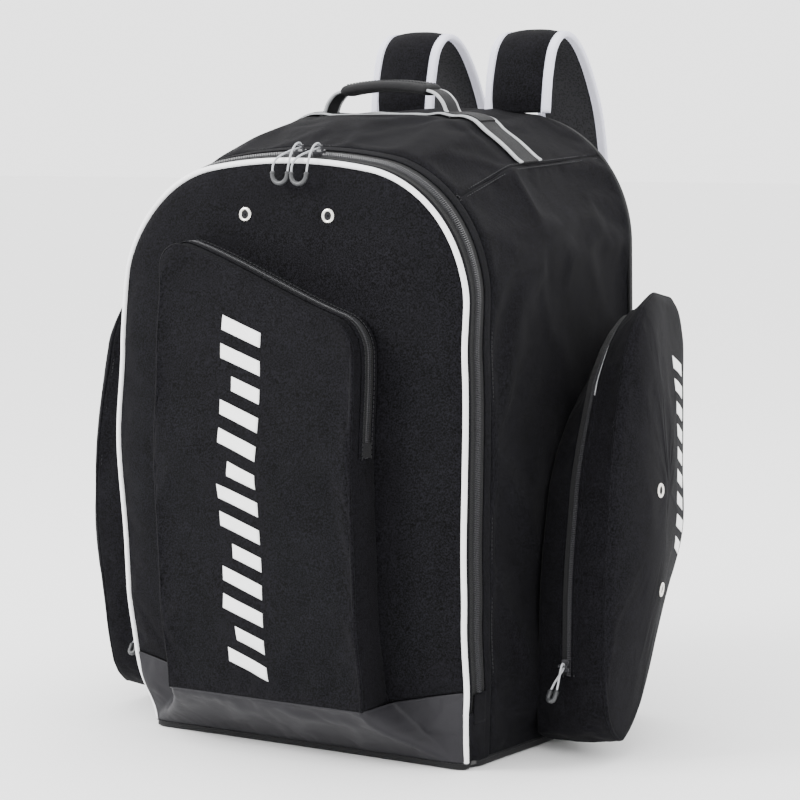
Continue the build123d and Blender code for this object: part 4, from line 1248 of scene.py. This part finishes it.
def pocket_coil(name, line, out, body, nodes):
    """Close teeth of a pocket's zip, on a line with its normals."""
    points, normals, along = evenly(line, out, 1.9 * MM)
    size = (1.25 * MM, 4.8 * MM, 2.0 * MM)
    teeth = teeth_object(name, points, along, np.cross(normals, along), normals, size)
    finish_piece(teeth, "zipper_black", body, nodes, COIL)


zip_start = outline_fraction("left", 455 * MM)
zip_end = outline_fraction("right", 322 * MM)
for name, offset, width, grow, slot in (("tape", 0, 17 * MM, 1.3 * MM, "zipper_black"),
                                        ("hem_front", 10.5 * MM, 6 * MM, 2.5 * MM, "fabric_black"),
                                        ("hem_back", -10.5 * MM, 6 * MM, 2.5 * MM, "fabric_black")):
    line, normals = pocket_line(ZIP_DEPTH + offset, grow, zip_start, zip_end)
    ribbon(f"front_pocket_zip_{name}", line, normals, width, 1.4 * MM, slot, "front_flap")
line, normals = pocket_line(ZIP_DEPTH, 2.6 * MM, zip_start, zip_end)
pocket_coil("front_pocket_zip_coil", line, normals, "front_flap", ["front_pocket_zip"])
for offset in (8.2 * MM, -8.2 * MM):
    line, normals = pocket_line(ZIP_DEPTH + offset, 3.0 * MM, zip_start, zip_end)
    stitches(f"front_pocket_zip_stitches_{'front' if offset > 0 else 'back'}", line, normals, "front_flap")
line, normals = pocket_line(2.0 * MM, 1.0 * MM)
trim("front_pocket_panel_seam", line, normals, round_profile(1.2 * MM, 8), "fabric_black", "front_flap")
line, normals = pocket_line(-0.3 * MM, 6 * MM)
stitches("front_pocket_panel_stitches_0", line, np.tile([0, -1.0, 0], (len(line), 1)), "front_flap")

# Small bar tacks where the zip ends
for name, fraction in (("left", zip_start), ("right", zip_end)):
    line, normals = pocket_line(ZIP_DEPTH, 2.6 * MM, fraction - 0.012, fraction + 0.004)
    ribbon(f"front_pocket_zip_stop_{name}", line, normals, 15 * MM, 2.2 * MM, "webbing_black", "front_flap",
           step=2 * MM)


def slanted_bar(x_low, x_high, z_low, z_high, slant):
    """Outline in (x, z) of a leaning bar with cut corners."""
    return [(x_low, z_low + slant), (x_high, z_low), (x_high, z_high), (x_low, z_high + slant)]


def patch_grid(corners, place, steps=(14, 6)):
    """Grid of points over a four-cornered patch: place maps its flat coordinates to a point in space."""
    grid = np.zeros((steps[0], steps[1], 3))
    c = [np.array(corner, float) for corner in corners]
    for i, u in enumerate(np.linspace(0, 1, steps[0])):
        for k, v in enumerate(np.linspace(0, 1, steps[1])):
            p = (c[0] * (1 - u) + c[1] * u) * (1 - v) + (c[3] * (1 - u) + c[2] * u) * v
            grid[i, k] = place(p[0], p[1])
    return grid


def surface_tree(obj):
    """Search tree over a piece's faces."""
    return BVHTree.FromPolygons([v.co for v in obj.data.vertices], [p.vertices for p in obj.data.polygons])


def snap_to(obj, grid, direction, lift):
    """Moves points that lie in front of another piece onto its surface, along a direction."""
    tree = surface_tree(obj)
    direction = Vector(direction).normalized()
    for index in np.ndindex(grid.shape[:2]):
        hit = tree.ray_cast(Vector(grid[index]), direction)[0]
        if hit is not None:
            grid[index] = hit - direction * lift
    return grid


def printed_bar(cloth, corners, place, direction):
    """One printed bar, lying on a cloth."""
    grid = snap_to(cloth, patch_grid(corners, place), direction, 0.35 * MM)
    return thicken(grid_object("bar", grid), 0.5 * MM, 0.0)


def before_front(x, z):
    """A point in front of the bag, to look for the pocket's face from."""
    return (x, FRONT_Y - 0.20, z)


BAR_LEFT, BAR_RIGHT = -47 * MM, 3 * MM
BAR_PITCH, BAR_SIZE, BAR_SLANT = 29 * MM, 15 * MM, 17 * MM
BAR_START, BAR_COUNT = 84 * MM, 13
SHORT_BAR_INSET, SHORT_BAR_SLANT = 14 * MM, 0.72
SIDE_BAR_FRONT, SIDE_BAR_BACK = 84 * MM, 118 * MM
SIDE_BAR_START, SIDE_BAR_PITCH, SIDE_BAR_SIZE, SIDE_BAR_COUNT = 192 * MM, 24 * MM, 13 * MM, 9
bars = []
for k in range(BAR_COUNT):
    low = BAR_START + BAR_PITCH * k
    long_bar = k % 3 != 1
    left = BAR_LEFT if long_bar else BAR_LEFT + SHORT_BAR_INSET
    slant = BAR_SLANT if long_bar else BAR_SLANT * SHORT_BAR_SLANT
    corners = slanted_bar(left, BAR_RIGHT, low, low + BAR_SIZE, slant)
    bars.append(printed_bar(pocket_front, corners, before_front, (0, 1, 0)))
finish_piece(join(bars, "front_pocket_print_bars"), "piping_white", "front_flap", material=PRINT)


def side_bars(side, sign):
    """Column of printed bars on a side pocket's face."""
    cloth = bpy.data.objects[f"side_pocket_{side}_face"]

    def beside(y, z):
        return (sign * 0.40, pocket_y(y, sign), z)

    bars = []
    for k in range(SIDE_BAR_COUNT):
        low = SIDE_BAR_START + SIDE_BAR_PITCH * k
        corners = slanted_bar(SIDE_BAR_FRONT, SIDE_BAR_BACK, low, low + SIDE_BAR_SIZE, SIDE_BAR_SIZE)
        bars.append(printed_bar(cloth, corners, beside, (-sign, 0, 0)))
    finish_piece(join(bars, f"side_pocket_{side}_print_bars"), "piping_white", "bag", material=PRINT)


for side, sign in SIDES:
    side_bars(side, sign)

# ---------------------------------------------------------------- side pockets: trims and eyelets

SIDE_EYELETS = [(0.020, 0.276), (0.025, 0.171)]


def grommet(name, centre, direction, body, nodes=()):
    """Rolled nickel grommet round a dark hole."""
    direction = unit(direction)
    side_way = unit(np.cross(direction, [0, 0, 1.0]))
    up = np.cross(side_way, direction)
    profile = [(4.3, -2.0), (4.3, 0.4), (4.9, 1.1), (5.8, 1.35), (6.9, 1.15), (7.7, 0.5), (8.0, -0.2),
               (7.6, -0.6)]
    hole = [(4.5, 0.15), (2.5, -0.3), (0.05, -0.5)]

    def turned(outline):
        """Rings of an outline of (radius, out) pairs turned about the eyelet's axis."""
        return np.array([[centre
                          + MM * (radius * (side_way * math.cos(a) + up * math.sin(a)) + out * direction)
                          for a in np.linspace(0, 2 * np.pi, 33)[:-1]] for radius, out in outline])

    finish_piece(grid_object(name, turned(profile), close_v=True), "nickel", body, nodes)
    dark = grid_object(f"{name}_hole", turned(hole), close_v=True)
    finish_piece(dark, "board_black", body, material=LINING)


def gusset_line(u, sign, grow, keep):
    """Part of the gusset's loop at u, lifted by grow, with its outward normals."""
    line = side_gusset(u, sign, grow)[keep]
    return line, unit(side_gusset(u, sign, grow + 1 * MM)[keep] - line)


for side, sign in SIDES:
    cloth = bpy.data.objects[f"side_pocket_{side}_face"]
    for number, (y, z) in enumerate(SIDE_EYELETS):
        y = pocket_y(y, sign)
        near = np.array([[[sign * 0.4, y, z], [sign * 0.4, y + 0.004, z], [sign * 0.4, y, z + 0.004]]])
        spot = snap_to(cloth, near, (-sign, 0, 0), 0.0)[0]
        facing = np.cross(spot[1] - spot[0], spot[2] - spot[0]) * sign
        nodes = ["side_eyelets"] if (number == 0 and sign > 0) else []
        grommet(f"side_eyelet_{side}_{number + 1}", spot[0] + unit(facing) * 0.4 * MM, facing, "bag", nodes)

    seam = side_gusset(1.0, sign)
    centre_y = pocket_y(SIDE_CENTRE[0], sign)
    outside = unit(seam - np.array([sign * 0.28, centre_y, SIDE_CENTRE[1]]))
    trim(f"side_pocket_{side}_self_piping", seam, outside, round_profile(2.2 * MM, 10), "fabric_black", "bag",
         ["side_pocket_piping"] if sign > 0 else [], closed=True)
    loop = side_gusset(0.955, sign, 0.3 * MM)
    stitches(f"side_pocket_{side}_stitches_0", loop, loop - [sign * 0.26, centre_y, SIDE_CENTRE[1]], "bag")

    # The zipper runs up the gusset's front and over its top
    middle = side_gusset(0.5, sign)
    count = len(middle)
    start = int(np.argmin(np.abs(middle[:, 2] - 90 * MM) + 10 * (middle[:, 1] > 0)))
    order = [(start + k) % count for k in range(count)]
    if middle[order[3], 2] < middle[order[0], 2]:
        order = [(start - k) % count for k in range(count)]
    keep = []
    for k in order:
        keep.append(k)
        if middle[k, 1] > pocket_y(118 * MM, sign):
            break
    for name, u, width, grow, slot in (("tape", 0.5, 17 * MM, 1.0 * MM, "zipper_black"),
                                       ("hem_front", 0.605, 6 * MM, 1.9 * MM, "fabric_black"),
                                       ("hem_back", 0.395, 6 * MM, 1.9 * MM, "fabric_black")):
        line, out = gusset_line(u, sign, grow, keep)
        ribbon(f"side_zip_{side}_{name}", line, out, width, 1.3 * MM, slot, "bag")
    line, out = gusset_line(0.5, sign, 2.2 * MM, keep)
    pocket_coil(f"side_zip_{side}_coil", line, out, "bag", ["side_pocket_zips"] if sign > 0 else [])
    # Painted highlight: a thin silver ribbon over the upper stretch of each side zip stands in for the light
    # caught by the coil, not a real reflective trim.
    upper = keep[len(keep) * 11 // 20:]
    line, out = gusset_line(0.56, sign, 2.9 * MM, upper)
    ribbon(f"side_zip_{side}_reflective_edge", line, out, 2.6 * MM, 0.8 * MM, "binding_grey", "bag",
           material=SILVER_AND_HIGHLIGHT)
    for u in (0.42, 0.58):
        line, out = gusset_line(u, sign, 2.4 * MM, keep)
        stitches(f"side_zip_{side}_stitches_{'back' if u < 0.5 else 'front'}", line, out, "bag")

# ---------------------------------------------------------------- top webbing, anchors and carry handle

WEB_Y = (web_low[1] + web_high[1]) / 2
EDGE_W = 5.5 * MM


def x_stitching(name, place, half_u, half_v, body, material):
    """Square with a cross of stitches in a flat patch: place maps (u, v) to a point and a normal."""
    corners = [(-half_u, -half_v), (half_u, -half_v), (half_u, half_v), (-half_u, half_v), (-half_u, -half_v)]
    lines = list(zip(corners, corners[1:])) + [(corners[0], corners[2]), (corners[1], corners[3])]
    for number, (a, b) in enumerate(lines):
        placed = [place(a[0] + (b[0] - a[0]) * k, a[1] + (b[1] - a[1]) * k) for k in np.linspace(0, 1, 12)]
        points = np.array([p for p, _ in placed])
        normals = np.array([n for _, n in placed])
        stitches(f"{name}_{number + 1}", points, normals, body, pitch=3.4 * MM, length=2.5 * MM,
                 material=material)


def t_at_x(x):
    """Parameter of the arch above x."""
    if abs(x) <= CROWN_HALF:
        return math.asin(x / CROWN_R) / CROWN_ANGLE
    turn = math.asin((abs(x) - SHOULDER_X) / SHOULDER_R)
    return math.copysign(1 + (turn - CROWN_ANGLE) / (np.pi / 2 - CROWN_ANGLE), x)


def top_line(y, t_low, t_high, lift):
    """Line across the top cloth, dropped onto it, with normals."""
    t = np.linspace(t_low, t_high, 90)
    path = bag_surface(t, y, 0.03)
    base = bag_surface(t, y, 0.0)
    out = unit(path - base)
    tree = surface_tree(top_shell)
    hits = [tree.ray_cast(Vector(p), Vector(-n))[0] for p, n in zip(path, out)]
    points = np.array([h if h is not None else b for h, b in zip(hits, base)])
    return points + out * lift, out


def laid_strip(name, y_low, y_high, t_low, t_high, lift, thickness, slot, nodes=(), material=None, rows=7):
    """Flat strip laid on the top cloth point by point, so that it follows it."""
    lines = [top_line(y, t_low, t_high, lift)[0] for y in np.linspace(y_low, y_high, rows)]
    obj = grid_object(name, np.array(lines).transpose(1, 0, 2))
    thicken(obj, thickness)
    modify(obj, "BEVEL", width=0.3 * MM, segments=2, limit_method="ANGLE")
    bake_modifiers(obj)
    return finish_piece(obj, slot, "bag", nodes, material)


WEB_END = SEAM_T - 2.5 * MM / T_PER_SHOULDER
laid_strip("top_webbing_strip", web_low[1], web_high[1], -WEB_END, WEB_END, 1.7 * MM, 1.7 * MM,
           "webbing_black", ["top_webbing"], rows=12)
for name, y_low, y_high in (("front", web_low[1] - 0.4 * MM, web_low[1] + EDGE_W),
                            ("back", web_high[1] - EDGE_W, web_high[1] + 0.4 * MM)):
    laid_strip(f"top_webbing_edge_{name}", y_low, y_high, -WEB_END, WEB_END, 2.3 * MM, 2.0 * MM,
               "binding_grey", material=SILVER_AND_HIGHLIGHT, rows=4)

ANCHOR_IN, ANCHOR_OUT = 78 * MM, 121 * MM


def handle_anchor(side, sign):
    """Patch that holds one end of the handle, with its box stitching."""
    ends = sorted((t_at_x(sign * ANCHOR_IN), t_at_x(sign * ANCHOR_OUT)))
    nodes = ["handle_anchors"] if sign > 0 else []
    laid_strip(f"handle_anchor_{side}", WEB_Y - 15.5 * MM, WEB_Y + 15.5 * MM, ends[0], ends[1], 3.2 * MM,
               2.0 * MM, "webbing_black", nodes)
    middle_t = (t_at_x(sign * 90 * MM) + t_at_x(sign * 117 * MM)) / 2
    half_t = abs(t_at_x(sign * 117 * MM) - t_at_x(sign * 90 * MM)) / 2

    def on_anchor(u, v):
        points, out = top_line(WEB_Y + v, middle_t + u - 1e-4, middle_t + u + 1e-4, 3.4 * MM)
        return points[0], out[0]

    x_stitching(f"anchor_stitching_{side}", on_anchor, half_t, 12.5 * MM, "bag", THREAD)


for side, sign in SIDES:
    handle_anchor(side, sign)

HANDLE_BLEND = ("bag", "carry_handle", (0, WEB_Y, 0.668), (0, WEB_Y, 0.686))
HANDLE_LINE = [(-86, 662), (-80, 668), (-75, 678), (-66, 687), (-54, 691), (-30, 694.5), (0, 696),
               (30, 694.5), (54, 691), (66, 687), (75, 678), (80, 668), (86, 662)]


def smooth_line_through(points, count):
    """Catmull-Rom line through a few given points."""
    p = np.array(points, float)
    p = np.concatenate([2 * p[:1] - p[1:2], p, 2 * p[-1:] - p[-2:-1]])
    result = []
    for u in np.linspace(0, len(p) - 3 - 1e-9, count):
        k, t = int(u), u - int(u)
        a, b, c, d = p[k:k + 4]
        result.append(0.5 * (2 * b + (c - a) * t + (2 * a - 5 * b + 4 * c - d) * t**2
                             + (3 * b - a - 3 * c + d) * t**3))
    return np.array(result)


handle_xz = smooth_line_through(HANDLE_LINE, 140) * MM
handle_path = np.stack([handle_xz[:, 0], np.full(len(handle_xz), WEB_Y), handle_xz[:, 1]], axis=1)
handle_out = outline_normals(handle_path)
ribbon("handle_webbing_band", handle_path, handle_out, 29 * MM, 2.6 * MM, "webbing_black", None,
       ["handle_webbing"], blend=HANDLE_BLEND, step=2.5 * MM)
for name, offset in (("front", -1), ("back", 1)):
    shifted = handle_path + np.array([0, offset * 12.2 * MM, 0])
    ribbon(f"handle_webbing_edge_{name}", shifted, handle_out, 4.8 * MM, 3.1 * MM, "binding_grey", None,
           material=SILVER_AND_HIGHLIGHT, blend=HANDLE_BLEND, step=2.5 * MM)

# Padded grip: webbing folded over a core and sewn along its length
GRIP_HALF = 57 * MM
grip_keep = np.abs(handle_path[:, 0]) < GRIP_HALF
grip_path = resample_with(handle_path[grip_keep], handle_out[grip_keep], 2.2 * MM)
angles = np.linspace(0, 2 * np.pi, 28, endpoint=False)
grip_profile = []
for a in angles:
    across = 16.5 * MM * np.sign(math.cos(a)) * abs(math.cos(a)) ** 0.75
    out = 6.6 * MM * np.sign(math.sin(a)) * abs(math.sin(a)) ** 0.85
    groove = 1.5 * MM * math.exp(-((across - 7 * MM) / (1.6 * MM)) ** 2) * (1 if math.sin(a) > 0 else 0)
    grip_profile.append((across, out - groove))
ends = np.abs(grip_path[:, 0]) / GRIP_HALF
taper = np.stack([1 - 0.10 * smooth(0.93, 1, ends), 1 - 0.45 * smooth(0.92, 1, ends)], axis=1)
trim("handle_grip_cover", grip_path[:, :3], grip_path[:, 3:], grip_profile, "webbing_black", "carry_handle",
     ["handle_grip"], scale=taper)
for name, offset in (("front", -8.5 * MM), ("back", 9.5 * MM)):
    row = grip_path[3:-3, :3] + np.array([0, offset, 0]) + unit(grip_path[3:-3, 3:]) * 6.0 * MM
    stitches(f"handle_grip_stitches_{name}", row, grip_path[3:-3, 3:], "carry_handle", pitch=4 * MM,
             length=2.8 * MM)

# ---------------------------------------------------------------- shoulder straps

STRAP_X = 77 * MM
STRAP_W = 70 * MM
STRAP_LINE = [(158, 664), (160, 682), (164, 706), (173, 733), (189, 748), (205, 750), (222, 742), (240, 724),
              (258, 696), (274, 660), (285, 610), (290, 560), (290, 500), (285, 440), (276, 396), (262, 356),
              (247, 318), (234, 287)]
strap_yz = smooth_line_through(STRAP_LINE, 260) * MM


def strap_section(width, bulge_out, bulge_in, count=14, edge=3.2 * MM):
    """Padded strap section: crowned cover on the outside, flatter inside, thin at both edges."""
    u = np.linspace(-1, 1, count)
    outer = [(width / 2 * a, edge / 2 + bulge_out * (1 - abs(a) ** 2.6)) for a in u]
    inner = [(width / 2 * a, -edge / 2 - bulge_in * (1 - abs(a) ** 2.6)) for a in u[::-1]]
    return outer, inner


for side, sign in SIDES:
    body = f"shoulder_strap_{side}"
    path = np.stack([np.full(len(strap_yz), sign * STRAP_X), strap_yz[:, 0], strap_yz[:, 1]], axis=1)
    along = tangents_of(path)
    out = unit(np.cross(along, [1.0, 0, 0]))
    if out[60, 2] < 0:
        out = -out
    rows = resample_with(path, out, 4 * MM)
    path, out = rows[:, :3], unit(rows[:, 3:])
    length = np.linspace(0, 1, len(path))
    puff = 1 + 0.10 * np.sin(length * 41) * np.sin(length * 17)
    flat_ends = smooth(0, 0.03, length) * smooth(1, 0.97, length)
    scale = np.stack([np.ones(len(path)), (0.45 + 0.55 * flat_ends) * puff], axis=1)
    outer, inner = strap_section(STRAP_W, 4.3 * MM, 3.6 * MM)
    cover_profile = outer + [(a, 0.0) for a, _ in outer[::-1]]
    cover = trim(f"strap_cover_{side}", path, out, cover_profile, "fabric_black", body,
                 [f"shoulder_strap_{side}"], scale=scale)
    lining_profile = [(a, 0.0) for a, _ in inner[::-1]] + inner
    trim(f"strap_mesh_{side}", path, out, lining_profile, "mesh_black", body, scale=scale)
    for edge_side, name in ((1, "outer"), (-1, "inner")):
        across = np.cross(unit(tangents_of(path)), out) * edge_side
        edge_path = path + across * 37 * MM
        trim(f"strap_binding_{name}_{side}", edge_path, out, slab_profile(11.5 * MM, 6.4 * MM, 0.48, 6),
             "binding_grey", body, [f"strap_binding_{side}"] if edge_side > 0 else [])
        for face in (1, -1):
            stitches(f"strap_stitches_{name}_{'top' if face > 0 else 'under'}_{side}",
                     path + across * 33.4 * MM + out * face * 3.3 * MM, out * face, body, "binding_grey",
                     material=MATERIALS["binding_grey"], lift=0.0)

# ---------------------------------------------------------------- lower webbing and anchors

def lower_strap(side, sign):
    """Webbing from the foot of the back up to the shoulder strap, and the wing that anchors it."""
    low, high = np.array([sign * 0.182, 0.173, 0.060]), np.array([sign * 0.086, 0.219, 0.248])
    steps = np.linspace(0, 1, 24)[:, None]
    path = low * (1 - steps) + high * steps
    path[:, 1] += 4 * MM * np.sin(np.pi * steps[:, 0])
    out = np.tile(unit([0.0, 0.97, -0.25]), (len(path), 1))
    nodes = ["lower_webbing"] if sign > 0 else []
    blend = ("bag", f"shoulder_strap_{side}", tuple(low + (high - low) * 0.06), tuple(high))
    ribbon(f"lower_webbing_{side}", path, out, 25 * MM, 1.7 * MM, "webbing_black", None, nodes, blend=blend)
    corners = np.array([(212, 16), (160, 46), (160, 66), (212, 78)], float) * MM

    def behind(x, z):
        return (sign * x, BACK_Y + 2.4 * MM, z)

    grid = patch_grid(corners, behind, (10, 10))
    wing = grid_object(f"lower_anchor_{side}", grid if sign < 0 else grid[::-1])
    thicken(wing, 2.2 * MM, 0.0)
    modify(wing, "BEVEL", width=0.7 * MM, segments=2)
    bake_modifiers(wing)
    finish_piece(wing, "webbing_black", "bag", ["lower_anchors"] if sign > 0 else [])

    def on_wing(u, v):
        return (np.array([sign * (186 * MM + u), BACK_Y + 3.9 * MM, 55 * MM + v]), np.array([0, 1.0, 0]))

    x_stitching(f"lower_anchor_stitching_{side}", on_wing, 11 * MM, 7 * MM, "bag", DARK_THREAD)


for side, sign in SIDES:
    lower_strap(side, sign)

# ---------------------------------------------------------------- back, pads and base

BACK_INSET = 1.5 * MM

# Padded back panel, with a channel down its middle
back_x = (HALF - BACK_INSET) * np.sin(phi)
back_tops = [arch_top(x, BACK_APEX, BACK_INSET) for x in back_x]
back_grid = columns(back_x, [FOOT_Z] * COLUMNS, back_tops, ROWS)
edge = np.minimum(back_grid[:, :, 2] - FOOT_Z, back_grid[:, -1:, 2] - back_grid[:, :, 2])
edge = np.minimum(edge, HALF - np.abs(back_grid[:, :, 0]))
channels = np.exp(-(np.abs(back_grid[:, :, 0]) / (5 * MM)) ** 2) * smooth(0.14, 0.17, back_grid[:, :, 2])
back_grid[:, :, 1] = BACK_Y - 1.5 * MM + seam_roll(edge, 2.5 * MM, 7 * MM) - 1.2 * MM * channels
back_grid[:, :, 1] += ripples(back_grid, 71, 0.12, 1.5 * MM) * smooth(0, 0.05, edge)
back_grid[:, :, 0] *= 1 + 0.022 * np.sin(np.pi * np.clip(back_grid[:, :, 2] / SIDE_TOP, 0, 1))
back_cloth = grid_object("back_panel_cloth", back_grid[::-1])
cloth_piece(back_cloth, "fabric_black", "bag", ["back_panel"])

path, out = arch_path(BACK_Y - 2.5 * MM, -T_FOOT, T_FOOT, 0.4 * MM, 0.01)
trim("back_seam_binding", path, out, slab_profile(7 * MM, 3.6 * MM, 0.48, 6), "webbing_black", "bag")


def pad(name, centre_x, centre_z, width, height, corner, grooves=()):
    """Air-mesh back pad: a crowned cushion with rounded corners and sewn cross channels."""
    u = np.linspace(-1, 1, 44)
    v = np.linspace(-1, 1, max(30, int(height / (5 * MM))))
    grid = np.zeros((len(u), len(v), 3))
    for i, a in enumerate(u):
        for k, b in enumerate(v):
            square = max(abs(a), abs(b))
            x, z = a * width / 2, b * height / 2
            over_x = max(abs(x) - (width / 2 - corner), 0)
            over_z = max(abs(z) - (height / 2 - corner), 0)
            reach = math.hypot(over_x, over_z)
            limit = max(over_x, over_z)
            if reach > 0:
                x = math.copysign(abs(x) - over_x + over_x * limit / reach, x)
                z = math.copysign(abs(z) - over_z + over_z * limit / reach, z)
            rim = min((1 - abs(a)) * width / 2, (1 - abs(b)) * height / 2)
            rise = 12 * MM * float(np.clip(rim / (13 * MM), 0, 1)) ** 0.55
            for groove in grooves:
                rise -= 6.5 * MM * math.exp(-((z - groove) / (4.5 * MM)) ** 2) * min(1, rise / (8 * MM))
            grid[i, k] = (centre_x + x, BACK_Y - 0.5 * MM + rise + (0.2 * MM if square < 1 else 0),
                          centre_z + z)
    obj = grid_object(name, grid[::-1])
    thicken(obj, 2.0 * MM)
    finish_piece(obj, "mesh_black", "bag")
    return obj


PAD_CORNER = 22 * MM
PAD_CHANNELS = [(-120 + 80 * k) * MM for k in range(4)]
for side, sign in SIDES:
    obj = pad(f"back_pad_{side}", sign * 62 * MM, 345 * MM, 88 * MM, 400 * MM, PAD_CORNER, PAD_CHANNELS)
    if sign > 0:
        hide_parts("back_pads")
pad("lumbar_pad", 0.0, 90 * MM, 250 * MM, 76 * MM, PAD_CORNER)

# Yoke: a stitched patch over the straps' roots
yoke = np.zeros((50, 20, 3))
for i, u in enumerate(np.linspace(-1, 1, 50)):
    for k, v in enumerate(np.linspace(-1, 1, 20)):
        yoke[i, k] = (u * 130 * MM, BACK_Y + 2.2 * MM, 600 * MM + v * 36 * MM)
yoke[:, :, 1] -= 1.2 * MM * smooth(0.93, 1.0, np.abs(np.linspace(-1, 1, 50)))[:, None]
yoke_piece = grid_object("strap_yoke_patch", yoke[::-1])
thicken(yoke_piece, 2.4 * MM, 0.0)
finish_piece(yoke_piece, "fabric_black", "bag", ["strap_yoke"])
for name, v in (("top", 1), ("foot", -1)):
    row = np.array([(x, BACK_Y + 3.6 * MM, 600 * MM + v * 31 * MM)
                    for x in np.linspace(-124 * MM, 124 * MM, 60)])
    stitches(f"yoke_stitches_{name}", row, np.tile([0, 1.0, 0], (60, 1)), "bag")
for name, u in (("left", -1), ("right", 1)):
    row = np.array([(u * 124 * MM, BACK_Y + 3.6 * MM, z) for z in np.linspace(569 * MM, 631 * MM, 20)])
    stitches(f"yoke_stitches_{name}", row, np.tile([0, 1.0, 0], (20, 1)), "bag")

def base_loop(grow, z):
    """Rectangle round the base, which soften() rounds at its corners."""
    half_x, half_y = HALF + grow, DEPTH / 2 + grow
    corners = [(half_x, half_y, z), (-half_x, half_y, z), (-half_x, -half_y, z), (half_x, -half_y, z)]
    return resample(corners + corners[:1], 5 * MM)[:-1]


# Base binding: bound seam round the foot of the bag
loop = soften(base_loop(-0.5 * MM, 5.0 * MM))
ahead = np.roll(loop, -1, axis=0) - np.roll(loop, 1, axis=0)
outwards = unit(np.stack([ahead[:, 1], -ahead[:, 0], 0 * ahead[:, 0]], axis=1))
trim("base_binding_tape", loop, outwards, slab_profile(8.4 * MM, 4.0 * MM, 0.48, 6), "webbing_black", "bag",
     ["base_binding"], closed=True)
loop_upper = loop + outwards * 2.2 * MM + np.array([0, 0, 2.0 * MM])
stitches("base_binding_stitches", np.concatenate([loop_upper, loop_upper[:1]]),
         np.concatenate([outwards, outwards[:1]]), "bag")

under = np.zeros((40, 32, 3))
for i, u in enumerate(np.linspace(-1, 1, 40)):
    for k, v in enumerate(np.linspace(-1, 1, 32)):
        under[i, k] = (u * HALF, v * DEPTH / 2, 2.2 * MM)
under = soften(under) * np.array([0.992, 0.99, 1])
under[:, :, 2] += 1.2 * MM * np.abs(np.sin(under[:, :, 0] * 9)) * np.abs(np.sin(under[:, :, 1] * 9))
under_piece = grid_object("base_panel_cloth", under)
thicken(under_piece, 3.2 * MM, 0.0)
finish_piece(under_piece, "tarpaulin", "bag", ["base_panel"])

# ---------------------------------------------------------------- front eyelets

eyelet_low, eyelet_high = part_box("front_eyelets")
EYELET_Z = (eyelet_low[2] + eyelet_high[2]) / 2
EYELET_X = eyelet_high[0] - 8 * MM
for side, sign in SIDES:
    x = sign * EYELET_X
    near = np.array([[[x, FRONT_Y - 0.1, EYELET_Z], [x + 0.004, FRONT_Y - 0.1, EYELET_Z],
                      [x, FRONT_Y - 0.1, EYELET_Z + 0.004]]])
    spot = snap_to(front_cloth, near, (0, 1, 0), 0.0)[0]
    facing = unit(np.cross(spot[1] - spot[0], spot[2] - spot[0]))
    nodes = ["front_eyelets"] if sign > 0 else []
    grommet(f"front_eyelet_{side}", spot[0] + facing * 0.4 * MM, facing, "front_flap", nodes)

# ---------------------------------------------------------------- the CAD nodes that stay

slots = {part["node"]: part["material_slot"] for part in frame["record"]["subparts"]}
for name in frame["nodes"]:
    obj = bpy.data.objects.get(name)
    if obj is None or obj.hide_render:
        continue
    for slot in obj.material_slots:
        slot.material = MATERIALS[slots[name]]
